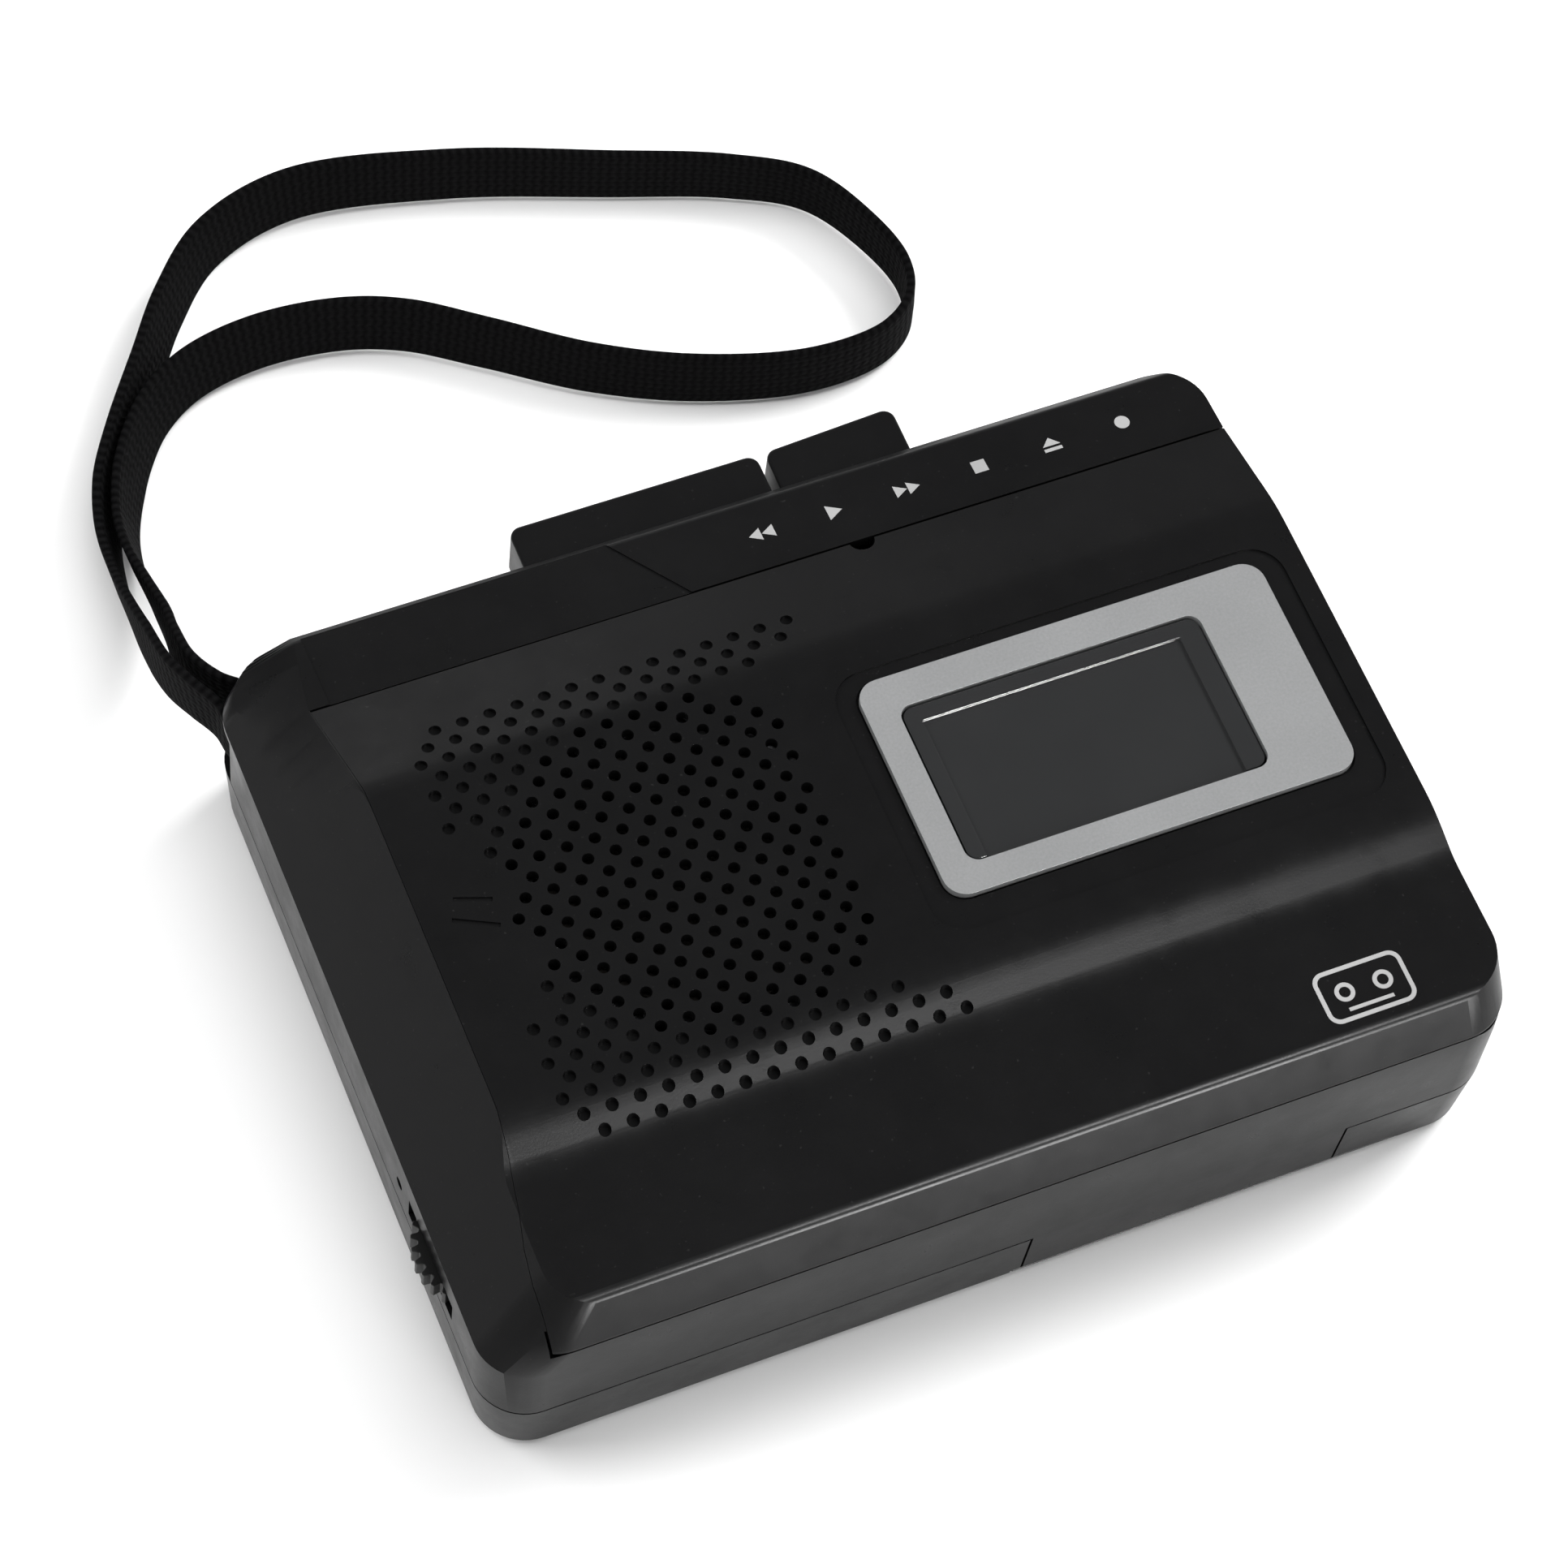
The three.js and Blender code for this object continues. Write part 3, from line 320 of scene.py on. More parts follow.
def finish_mesh(piece, bevel, angle=32, segments=3):
    """Welds, softens the sharp edges by bevel mm, and shades by area so that flats stay flat."""
    bm = bmesh.new()
    bm.from_mesh(piece.data)
    bmesh.ops.remove_doubles(bm, verts=bm.verts, dist=WELD)
    bmesh.ops.dissolve_degenerate(bm, edges=bm.edges, dist=WELD)
    bmesh.ops.dissolve_limit(bm, verts=bm.verts, edges=bm.edges, angle_limit=math.radians(FLAT_ANGLE))
    for face in bm.faces:
        face.smooth = True
    bm.to_mesh(piece.data)
    bm.free()
    piece.data.set_sharp_from_angle(angle=math.radians(angle))
    if bevel:
        modifier = piece.modifiers.new("soft edges", "BEVEL")
        modifier.width, modifier.segments = bevel * MM, segments
        modifier.limit_method, modifier.angle_limit = "ANGLE", math.radians(angle)
        modifier.use_clamp_overlap = True
        modifier.harden_normals = True
        modifier.miter_outer = "MITER_ARC"
    weighted = piece.modifiers.new("flat shading by area", "WEIGHTED_NORMAL")
    weighted.keep_sharp = True
    return piece


def place(piece, name, body, slot, look=None, replaces=(), bevel=0.25, angle=32, segments=3):
    """Finishes a piece, names it, scales it to metres and lets it ride."""
    finish_mesh(piece, bevel, angle, segments)
    piece.data.transform(Matrix.Scale(MM, 4))
    piece.name = piece.data.name = name
    piece.data.materials.clear()
    piece.data.materials.append(looks[look or slot])
    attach(piece, body)
    if replaces:
        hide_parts(*replaces)
    return piece


# ---------- wrist strap ----------
STRAP_ROUTE = [
    (-57, 38.9, 15), (-58.6, 40.2, 15), (-59.3, 43.6, 14.9), (-61, 47.6, 14.2), (-62.3, 52, 12.6),
    (-62.8, 58, 10.2), (-62.8, 64, 7.4), (-62.5, 70, 5.2), (-61.6, 76.4, 4.3), (-59.4, 82.6, 4.3),
    (-55.6, 89, 4.3), (-50, 97, 4.3), (-44.6, 104.6, 4.3), (-37.2, 111.8, 4.3), (-25.6, 115.4, 4.3),
    (-6.2, 112, 4.3), (12.4, 105.6, 4.3), (26.4, 100.4, 4.3), (34.8, 95.4, 4.3), (39.4, 87.4, 4.3),
    (41.2, 80, 4.3), (39.8, 75, 4.3), (35.2, 71.6, 4.3), (25.4, 70.8, 4.3), (12, 74.2, 4.3), (0.4, 79.8, 4.3),
    (-10.4, 87.4, 4.3), (-18.6, 92.9, 4.3), (-26, 95.6, 4.3), (-36.2, 96.5, 4.3), (-45, 94.8, 4.3),
    (-50.6, 91.4, 4.3), (-54.4, 87, 4.3), (-57.3, 82, 4.3), (-59.2, 77, 4.4), (-59.9, 72, 5.2),
    (-59.8, 66, 6.9), (-59.8, 60.6, 9.1), (-60.1, 55.6, 11.4), (-59.7, 50.9, 13.4), (-57.9, 47, 14.6),
    (-55.2, 44.2, 15), (-53.9, 41.4, 15), (-54.5, 39.8, 15)]
STRAP_WIDTH, STRAP_THICK = 8.0, 1.2
SELVEDGE = 0.45         # width of the rounded edge of the strip


def smooth_line(route, per_span=12):
    """Centripetal curve through the route's points."""
    points = [Vector(p) for p in route]
    points = [2 * points[0] - points[1]] + points + [2 * points[-1] - points[-2]]
    line = []
    for a, b, c, d in zip(points, points[1:], points[2:], points[3:]):
        t1 = (b - a).length ** 0.5
        t2 = t1 + (c - b).length ** 0.5
        t3 = t2 + (d - c).length ** 0.5
        for k in range(per_span):
            t = t1 + (t2 - t1) * k / per_span
            e = a * ((t1 - t) / t1) + b * (t / t1)
            f = b * ((t2 - t) / (t2 - t1)) + c * ((t - t1) / (t2 - t1))
            g = c * ((t3 - t) / (t3 - t2)) + d * ((t - t2) / (t3 - t2))
            h = e * ((t2 - t) / t2) + f * (t / t2)
            i = f * ((t3 - t) / (t3 - t1)) + g * ((t - t1) / (t3 - t1))
            line.append(h * ((t2 - t) / (t2 - t1)) + i * ((t - t1) / (t2 - t1)))
    return line + [points[-2]]


def strap_section():
    """Outline of the strip: two slightly domed faces of nine points, and three points round each edge."""
    half_t, half_w = STRAP_THICK / 2, STRAP_WIDTH / 2
    section = []
    for k in range(9):
        dome = 1 - 0.12 * abs(k - 4) / 4
        section.append((half_t * dome, -half_w + SELVEDGE + (2 * half_w - 2 * SELVEDGE) * k / 8))
    section += [(half_t * 0.55, half_w - 0.1), (0, half_w), (-half_t * 0.55, half_w - 0.1)]
    section += [(-a, -b) for a, b in section[:9]]
    return section + [(-half_t * 0.55, -half_w + 0.1), (0, -half_w), (half_t * 0.55, -half_w + 0.1)]


def strap_lean(share):
    """Sideways lean in radians at a share of the length; upright near both ends."""
    fade = (min(share, 1 - share) - 0.06) / 0.08
    return -0.42 * math.cos(math.pi * share) * min(1, max(0, fade))


def strap():
    """The strip swept along its route, with the weave's coordinates in metres."""
    line = smooth_line(STRAP_ROUTE)
    section = strap_section()
    bm = bmesh.new()
    uv = bm.loops.layers.uv.new("weave")
    rings, travelled = [], [0.0]
    whole = sum((b - a).length for a, b in zip(line, line[1:]))
    for i, at in enumerate(line):
        along = (line[min(i + 1, len(line) - 1)] - line[max(i - 1, 0)]).normalized()
        side = Vector((along.y, -along.x, 0)).normalized()
        rise = side.cross(along).normalized()
        if i:
            travelled.append(travelled[-1] + (at - line[i - 1]).length)
        lean = strap_lean(travelled[-1] / whole)
        across = side * math.cos(lean) - rise * math.sin(lean)
        wide = rise * math.cos(lean) + side * math.sin(lean)
        rings.append([bm.verts.new(at + across * a + wide * b) for a, b in section])
    count = len(section)
    for i in range(len(rings) - 1):
        for j in range(count):
            k = (j + 1) % count
            face = bm.faces.new((rings[i][j], rings[i][k], rings[i + 1][k], rings[i + 1][j]))
            face.smooth = True
            for loop, (r, s) in zip(face.loops, ((i, j), (i, j + 1), (i + 1, j + 1), (i + 1, j))):
                b = section[s % count][1]
                loop[uv].uv = (travelled[r] * MM, b * MM)
    bm.faces.new(rings[0][::-1])
    bm.faces.new(rings[-1])
    piece = mesh_object("strap_webbing_loop", bm)
    piece.data.transform(Matrix.Scale(MM, 4))
    piece.data.materials.append(looks["strap_webbing"])
    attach(piece, "case")
    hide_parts("wrist_strap")
    return piece


strap()

# ---------- the case's outer form, as in the frame but with finer curves ----------
HALF_X, HALF_Y, WALL, GAP = 60, 45, 1.6, 0.3
Z_PART, Z_SHOULDER, Z_LID, Z_TOP, RIDGE_X, SEAM_Y = 10.3, 20, 23.9, 31.5, -50, 34.6
HINGE_Y, BARREL_R, BARREL_X = -42.9, 1.4, (-47.1, 50.7)
Z_FLAT = 29.1           # the lid's flat at its front edge
STRIP_Z = 27.2          # the name strip at the seam
TOP_LINE = [
    (-50, Z_FLAT), (-26.4, 29.2), (-24.7, 29.85), (-22.4, 30.8), (-20.7, 31.35), (-18.5, Z_TOP),
    (19.2, Z_TOP), (21.2, 31.3), (23.2, 30.75), (SEAM_Y, STRIP_Z), (44, 26.2), (45.2, 25), (50, 25)]


def layer(z, x0, x1, y0, y1, radii, steps=12):
    """Points of a rectangle at one height, with a radius of its own at each corner."""
    points = []
    corners = ((x0, y0, 1, 1, 180), (x1, y0, -1, 1, 270), (x1, y1, -1, -1, 0), (x0, y1, 1, -1, 90))
    for (x, y, sx, sy, start), r in zip(corners, radii):
        for k in range(steps + 1):
            a = math.radians(start + 90 * k / steps)
            points.append((x + sx * r + r * math.cos(a), y + sy * r + r * math.sin(a), z))
    return points


def envelope(t):
    """Hull of the case's outlines at seven heights, t mm inside the outer face."""
    r = 6 - t
    even = (r, r, r, r)
    points = (
        layer(t, -58.5 + t, 58.5 - t, -43.7 + t, 43.7 - t, even)
        + layer(0.45 + t * 0.8, -59.1 + t, 59.1 - t, -44.25 + t, 44.25 - t, even)
        + layer(1.3 + t / 2, -59.5 + t, 59.5 - t, -44.6 + t, 44.6 - t, even)
        + layer(Z_PART, -HALF_X + t, HALF_X - t, -HALF_Y + t, HALF_Y - t, even)
        + layer(Z_SHOULDER, -HALF_X + t, HALF_X - t, -44.8 + t, HALF_Y - t, even)
        + layer(Z_LID, -56.6 + t, HALF_X - t, -44.5 + t, HALF_Y - t, (r, r, r, 3))
        + layer(Z_TOP + 0.2 - t, RIDGE_X - 0.2 + t, 59.2 - t, -40.6 + t, HALF_Y - t, (4, r, r, 1)))
    bm = bmesh.new()
    verts = [bm.verts.new(p) for p in points]
    bmesh.ops.convex_hull(bm, input=verts)
    bmesh.ops.delete(bm, geom=[v for v in bm.verts if not v.link_faces], context="VERTS")
    return mesh_object("tool", bm)


CREST_Y, CREST_R = -41.1, 1.3     # rounding between the lower flat and the front facet
CREST_REACH = 1.16                # how far in front of CREST_Y the rounding meets the facet


def line_height(y):
    """Height of the top line, with its creases."""
    for (a, za), (b, zb) in zip(TOP_LINE, TOP_LINE[1:]):
        if y <= b:
            return za + (zb - za) * (y - a) / (b - a)
    return TOP_LINE[-1][1]


def top_height(y):
    """The top line with its creases rounded off, and the rounded crest above the front facet."""
    if y < CREST_Y - CREST_REACH:
        return Z_LID + 2 * (y + 44.5) + 0.04
    if y < CREST_Y:
        return Z_FLAT - CREST_R + math.sqrt(max(0, CREST_R ** 2 - (y - CREST_Y) ** 2))
    reach = 1.3 if y < 30 else 0.25
    return sum(line_height(y + reach * k / 6) for k in range(-6, 7)) / 13


BEND_Y = 21.2           # where the ridge starts to turn outwards
RIDGE_TURN = 1.4        # how far it has turned at the seam
STRIP_DEPTH = 9.4       # the name strip, from the seam to the case's rear


def ridge_at(y):
    """X of the crest between the top and the left shoulder."""
    if y <= BEND_Y:
        return RIDGE_X
    if y <= SEAM_Y:
        return RIDGE_X - RIDGE_TURN * (y - BEND_Y) / (SEAM_Y - BEND_Y)
    return RIDGE_X - RIDGE_TURN + 1.6 * min(y - SEAM_Y, STRIP_DEPTH) / STRIP_DEPTH


SKY_STEPS = (
    [-48, -42.27, -42.2, -42.1, -42, -41.85, -41.7, -41.5, -41.3, -41.1, -39.8]
    + [-30 + 0.4 * k for k in range(37)] + [-14, 0, 15] + [16 + 0.4 * k for k in range(26)]
    + [28, 31, SEAM_Y, 38, 41, 43, 43.6, 44, 44.4, 44.8, 45.2, 46, 49])


BLEND_Y, BLEND_LENGTH = 16, 8     # over this stretch the sky's left edge drops onto the shoulder
REACH_LEFT = 20                   # how far left of the ridge the sky goes on


def sky(drop):
    """Everything above the top surface, lowered by drop; it slopes down to the left behind the plateau."""
    rings = []
    for y in SKY_STEPS:
        z = top_height(y) - drop
        share = min(1, max(0, (y - BLEND_Y) / BLEND_LENGTH))
        share = share * share * (3 - 2 * share)
        low = z - REACH_LEFT * ((z - Z_SHOULDER - 0.5 + drop) / 9.5)
        edge_z = (z + 3) * (1 - share) + low * share
        ridge = ridge_at(y) - 0.5
        left = ridge - REACH_LEFT
        rings.append([(left, y, 60), (70, y, 60), (70, y, z), (ridge, y, z), (left, y, edge_z)])
    points = [p for ring in rings for p in ring]
    faces = [tuple(range(5))[::-1], tuple(range(len(points) - 5, len(points)))]
    for i in range(len(rings) - 1):
        for j in range(5):
            k = (j + 1) % 5
            faces.append((i * 5 + j, i * 5 + k, (i + 1) * 5 + k, (i + 1) * 5 + j))
    return solid(points, faces, triangles=True)


outer = cut(envelope(0), sky(0))
skin = cut(copy_of(outer), cut(envelope(WALL), sky(WALL)))


def lid_region(grow, side=None):
    """Volume that lifts with the lid, widened all round by grow, or by side at its left edge."""
    left = RIDGE_X - 0.3 - (grow if side is None else side)
    rear = SEAM_Y - GAP + grow
    main = prism_z([(left - 3, -60), (left - 3, -38), (left - 2.5, -34), (left - 1.6, -30), (left - 0.5, -24),
                    (left, -19), (left, BEND_Y), (left - RIDGE_TURN, rear), (70, rear), (70, -60)],
                   Z_LID - grow, 50)
    return join(main, box(left - 3, 70, -60, -43.3 + grow, Z_LID - 0.45 - grow, Z_LID + 1))


KNUCKLES, KNUCKLE_R = ((-50.4, -47.4), (51, 54)), 0.95
HINGE_ROOM = 1.75       # radius of the groove that the lid's hinge barrel turns in


# ---------- lid ----------
SPEAKER = (-19.4, 0.8)
PITCH_X, PITCH_Y = 3.204, 2.127
FIELD_R, FIELD_RIGHT = 21.2, -4.5
HOLE_R, DIMPLE_R, DIMPLE_DEPTH = 0.69, 0.72, 0.8
STROKES = (((-46, 5.4), (-42, 4.0)), ((-47, 3.1), (-42.3, 0.8)))
STROKE_HALF_WIDTH = 0.26


def grille_points():
    """(x, y, goes through) of every grille mark: holes over the speaker, blind dimples round them."""
    for row in range(-12, 13):
        y = SPEAKER[1] + row * PITCH_Y
        first = SPEAKER[0] - 7.5 * PITCH_X + (PITCH_X / 2 if row % 2 else 0)
        for k in range(16):
            x = first + k * PITCH_X
            inside = math.hypot(x - SPEAKER[0], y - SPEAKER[1]) <= FIELD_R and x < FIELD_RIGHT
            if inside and abs(row) <= 9:
                yield x, y, True
            elif abs(row) >= 10 and x < (2.6 if abs(row) >= 11 else FIELD_RIGHT) and (k or abs(row) < 12):
                yield x, y, False
            elif 4 <= abs(row) <= 9 and x < SPEAKER[0] and not inside and (k or abs(row) > 5):
                yield x, y, False


def stroke(start, end):
    """Tool for a shallow straight groove in the plateau."""
    (x0, y0), (x1, y1) = start, end
    dx, dy = x1 - x0, y1 - y0
    n = STROKE_HALF_WIDTH / math.hypot(dx, dy)
    return prism_z([(x0 - dy * n, y0 + dx * n), (x0 + dy * n, y0 - dx * n), (x1 + dy * n, y1 - dx * n),
                    (x1 - dy * n, y1 + dx * n)], Z_TOP - 0.25, Z_TOP + 1)


def lid():
    """Lid moulding with its speaker ring, hinge barrel, latch, grille, window seat and finger notch."""
    plate = cut(both(copy_of(skin), lid_region(0)),
                *[rod_x(HINGE_Y, Z_LID, KNUCKLE_R + 0.25, a - GAP, b + GAP) for a, b in KNUCKLES])
    speaker_ring = cut(disc(*SPEAKER, 21, 27.4, 30.2, 48), disc(*SPEAKER, 19.9, 27, 30.4, 48))
    lip = box(*BARREL_X, -43.6, -42.6, Z_LID, Z_LID + 1.6)
    barrel = rod_x(HINGE_Y, Z_LID, BARREL_R, *BARREL_X)
    latch_hook = box(55.8, 57.6, 31.8, 33.9, 22.4, 26.8)
    join(plate, lip, barrel, speaker_ring, latch_hook)
    holes, dimples = [], []
    for x, y, through in grille_points():
        if through:
            holes.append(disc(x, y, HOLE_R, Z_TOP - 2.8, Z_TOP + 1, 16))
        else:
            z = top_height(y)
            dimples.append(disc(x, y, DIMPLE_R, z - DIMPLE_DEPTH, z + 1, 14))
    frame_seat = prism_z(rounded(4.1, 54.1, -13.5, 15.15, 2.9), Z_TOP - 0.9, Z_TOP + 2)
    opening = prism_z(rounded(10.2, 41.8, -7.7, 8.9, 1), Z_TOP - 5, Z_TOP)
    finger_notch = disc(14.2, SEAM_Y - 0.2, 1.5, 24, 32)
    latch_step = box(55, 59, 33.1, 35, 23.2, 24.4)
    frame_recess = prism_z(rounded(1.8, 56.6, -17, 16.6, 4), Z_TOP - 0.3, Z_TOP + 2)
    pin_bores = [rod_x(HINGE_Y, Z_LID, 0.75, a, b, 16) for a, b in ((-48, -42), (45, 52))]
    cut(plate, frame_seat, opening, finger_notch, latch_step, frame_recess, *pin_bores,
        *[stroke(*ends) for ends in STROKES])
    cut(plate, *holes)
    cut(plate, *dimples)
    place(plate, "lid_moulding", "lid", "case_plastic", replaces=["lid_shell"], bevel=0.16, segments=2)


lid()


# ---------- front shell and rear cover ----------
def strip_height(y, drop=0):
    """Height of the name strip's surface, or of a level drop mm below it."""
    return STRIP_Z - drop - (y - SEAM_Y) / STRIP_DEPTH


SCREWS = ((-54, -38), (-54, 29), (54, 38), (54, -38))
SCREW_BORE_R = 1.25
WHEEL = (-54.3, -26.2, 14.5)
WHEEL_ROOM = 1.7        # half the height of the thumbwheel's slot
JACKS_Y, JACK_R = (20, 8, -6), 2.3


def boss(x, y, z0, z1):
    """Screw post with a web out to the side wall."""
    far = x * 1.09
    post = join(disc(x, y, 2.6, z0, z1), box(min(x, far), max(x, far), y - 0.8, y + 0.8, z0, z1 - 0.4))
    return both(post, envelope(0.5))


def name_strip_tool():
    """Tool that sinks the floor of the name strip; its right end slants."""
    left, near, far = -49.4, SEAM_Y - 2, HALF_Y + 1
    z_near, z_far = [strip_height(y, 0.2) for y in (near, far)]
    points = [(left, near, z_near), (-5, near, z_near), (-5, near, 35), (left, near, 35),
              (left, far, z_far), (-14.3, far, z_far), (-14.3, far, 35), (left, far, 35)]
    return solid(points, [(0, 3, 2, 1), (4, 5, 6, 7), (0, 1, 5, 4), (1, 2, 6), (1, 6, 5), (2, 3, 7, 6),
                          (3, 0, 4, 7)])


def front_shell():
    """Upper half of the case, with the slots for keys, strap and thumbwheel and the hinge knuckles."""
    body = both(copy_of(skin), box(-70, 70, -60, 60, Z_PART + GAP / 2, 50))
    skirt = both(copy_of(skin), box(3, 41, -60, -43.3, 1.8, Z_PART + 1))
    inner_wall = both(prism_x([(-40.5, 16.4), (34, 16.4), (34, 25.6), (22, 29.6), (-19, 29.6), (-22, 28),
                               (-40.5, 26.8)], RIDGE_X - 1.9, RIDGE_X - 0.75), envelope(0.8))
    pocket_block = both(box(-58.6, -51.4, 36.4, 43.6, Z_PART + GAP / 2, 20.4), envelope(0.5))
    join(body, skirt, inner_wall, pocket_block, *[boss(x, y, Z_PART + GAP / 2, 20) for x, y in SCREWS])
    cut(body, lid_region(GAP, 0.05), rod_x(HINGE_Y, Z_LID, HINGE_ROOM, -53.6, 62))
    for a, b in KNUCKLES:
        join(body, rod_x(HINGE_Y, Z_LID, KNUCKLE_R, a, b), box(a, b, -42.5, -41.5, 19, Z_LID),
             box(a, b, -43.8, -41.5, 19, 21.3))
    strap_pocket = box(-64, -52.2, 37.8, 48, 10, 19.2)
    strap_pin_bore = disc(-56.25, 41.4, 1.15, 11, 20, 20)
    key_slots = [box(-23, 25.9, 40, 48, z0, z1) for z0, z1 in ((17.1, 25.1), (Z_PART - 1, 16.4))]
    slot_low, slot_high = WHEEL[2] - WHEEL_ROOM, WHEEL[2] + WHEEL_ROOM
    wheel_slot = box(-64, -50, WHEEL[1] - 6.6, WHEEL[1] + 6.6, slot_low, slot_high)
    wheel_well = disc(*WHEEL[:2], 8, slot_low, slot_high, 48)
    sound_hole = rod_x(-16.7, WHEEL[2], 0.8, -62, -57, 20)
    cut(body, strap_pocket, strap_pin_bore, *key_slots, wheel_slot, wheel_well, sound_hole, name_strip_tool(),
        *[disc(x, y, SCREW_BORE_R, Z_PART - 1, 18, 16) for x, y in SCREWS],
        *[rod_x(HINGE_Y, Z_LID, 0.65, a - 1, b + 1, 16) for a, b in KNUCKLES])
    place(body, "front_moulding", "case", "case_plastic", replaces=["front_shell"], bevel=0.22)


front_shell()


def rear_cover():
    """Lower half of the case, with the battery bay, the door's opening, screw holes and jack holes."""
    body = both(copy_of(skin), box(-70, 70, -60, 60, -1, Z_PART - GAP / 2))
    bay_left, bay_right, bay_rear = 1.5, 49.5, -20.5
    join(body, box(0.3, bay_left, -43.6, -19.2, 1, 10), box(bay_right, 50.8, -43.6, -19.2, 1, 10),
         box(0.3, 50.8, bay_rear, -19.2, 1, 10), *[boss(x, y, 1, Z_PART - GAP / 2) for x, y in SCREWS])
    cut(body, box(bay_left, bay_right, -50, bay_rear, -1, 1.7), box(2.7, 41.3, -50, -42.9, -1, 12),
        *[disc(x, y, SCREW_BORE_R, -1, 12, 16) for x, y in SCREWS],
        *[disc(x, y, 2, -1, 1.2) for x, y in SCREWS],
        *[rod_x(y, 6, JACK_R, 57, 62) for y in JACKS_Y])
    place(body, "rear_moulding", "case", "case_plastic", replaces=["rear_cover"], bevel=0.22)


rear_cover()
bpy.data.objects.remove(outer)
bpy.data.objects.remove(skin)


# ---------- pieces carried over from the frame, with softened edges ----------
def refine(node, bevel, segments=3):
    """A copy of a CAD node with welded, rounded edges and its own material."""
    source = frame["nodes"][node]
    twin = bpy.data.objects.new(node + "_piece", source.data.copy())
    scene.collection.objects.link(twin)
    twin.data.transform(Matrix.Scale(1 / MM, 4))
    return place(twin, node + "_piece", source["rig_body"], slot_of[node], replaces=[node], bevel=bevel,
                 angle=30, segments=segments)


UPPER, LOWER = (17.6, 24.6, 50.6), (10.9, 15.9, 48.8)     # a row's lower and upper height and its tip
KEYS = {
    "play_key": (-22.5, 8.2, UPPER, 0, "play"),
    "stop_eject_key": (8.9, 25.4, UPPER, 0.7, "stop_eject"),
    "rewind_key": (-22.5, -7.5, LOWER, 0, "rewind"),
    "fast_forward_key": (-6.8, 8.2, LOWER, 0, "fast_forward"),
    "record_key": (8.9, 24.9, LOWER, 0, "record")}


def key_cap(node, x0, x1, row, slant, body):
    """Key with rounded front corners and a tail inside the case."""
    z0, z1, tip = row
    x0, x1, r = x0 + GAP / 2, x1 - GAP / 2, 1.4
    outline = [(x0, 44), (x1, 44)]
    for cx, cy, start in ((x1 - r, tip + slant - r, 0), (x0 + r, tip - r, 90)):
        for k in range(9):
            a = math.radians(start + 90 * k / 8)
            outline.append((cx + r * math.cos(a), cy + r * math.sin(a)))
    cap = join(prism_z(outline, z0, z1), box(x0 + 0.85, x1 - 0.85, 43.2, 44.4, z0 + 0.8, z1 - 0.8))
    place(cap, node + "_cap", body, "case_plastic", "key_plastic", [node], 0.4, segments=4)


for node, facts in KEYS.items():
    key_cap(node, *facts)
BEVELS = {
    "window_frame": 0.18, "window_pane": 0.05, "battery_door": 0.2, "volume_wheel": 0.12,
    "chassis_plate": 0.1, "cassette_tray": 0.2, "head_plate": 0.1, "record_play_head": 0.25,
    "erase_head": 0.25, "pinch_arm": 0.1, "motor": 0.2, "circuit_board": 0.15, "eject_latch": 0.15,
    "earphone_jack": 0.15, "microphone_jack": 0.15, "power_jack": 0.15, "key_spring_comb": 0.05,
    "microphone": 0.15, "volume_pot": 0.2, "battery_plate_front": 0.1, "battery_plate_rear": 0.1,
    "cassette_spring_left": 0.04, "cassette_spring_right": 0.04, "flywheel": 0.12, "idler_gear": 0.06,
    "takeup_gear": 0.06, "supply_gear": 0.06}
for node, bevel in BEVELS.items():
    refine(node, bevel)


# ---------- round pieces made again with many sides ----------
def turned(name, body, slot, profile, x, y, replaces, bevel=0.1, sides=64):
    """Lathe-turned piece from (radius, z) pairs that start and end on the axis or close on themselves."""
    bm = bmesh.new()
    closed = profile[0] == profile[-1]
    ring_points = profile[:-1] if closed else profile
    rings = []
    for r, z in ring_points:
        if r == 0:
            rings.append([bm.verts.new((x, y, z))] * sides)
        else:
            rings.append([bm.verts.new((x + r * math.cos(2 * math.pi * k / sides),
                                        y + r * math.sin(2 * math.pi * k / sides), z)) for k in range(sides)])
    pairs = list(zip(rings, rings[1:])) + ([(rings[-1], rings[0])] if closed else [])
    for a, b in pairs:
        for k in range(sides):
            m = (k + 1) % sides
            corners = []
            for vert in (a[k], a[m], b[m], b[k]):
                if vert not in corners:
                    corners.append(vert)
            if len(corners) > 2:
                bm.faces.new(corners)
    return place(mesh_object(name, bm), name, body, slot, replaces=replaces, bevel=bevel, segments=2)


CAPSTAN, PINCH, MOTOR = (-19, 27.8), (-19, 38.6), (25, 30)
turned("capstan_pin", "capstan", "steel",
       [(0, 2.2), (0.95, 2.2), (1, 2.3), (1, 22.3), (0.8, 22.6), (0, 22.6)],
       *CAPSTAN, ["capstan_shaft"], 0.05)
turned("capstan_bush", "case", "brass", [(1.15, 9), (2.3, 9), (2.3, 13.6), (1.15, 13.6), (1.15, 9)],
       *CAPSTAN, ["capstan_bearing"], 0.15)
turned("rubber_roller", "pinch_wheel", "rubber",
       [(1.1, 17.5), (3.8, 17.5), (4, 17.7), (4, 21.8), (3.8, 22), (1.1, 22), (1.1, 17.5)],
       *PINCH, ["pinch_roller"], 0.12)
turned("motor_pulley_turned", "motor_rotor", "brass",
       [(0, 2.2), (3.2, 2.2), (2.6, 2.7), (2.6, 3.3), (3.2, 3.6), (0.9, 3.6), (0.9, 9.8), (0, 9.8)],
       *MOTOR, ["motor_pulley"], 0.05)
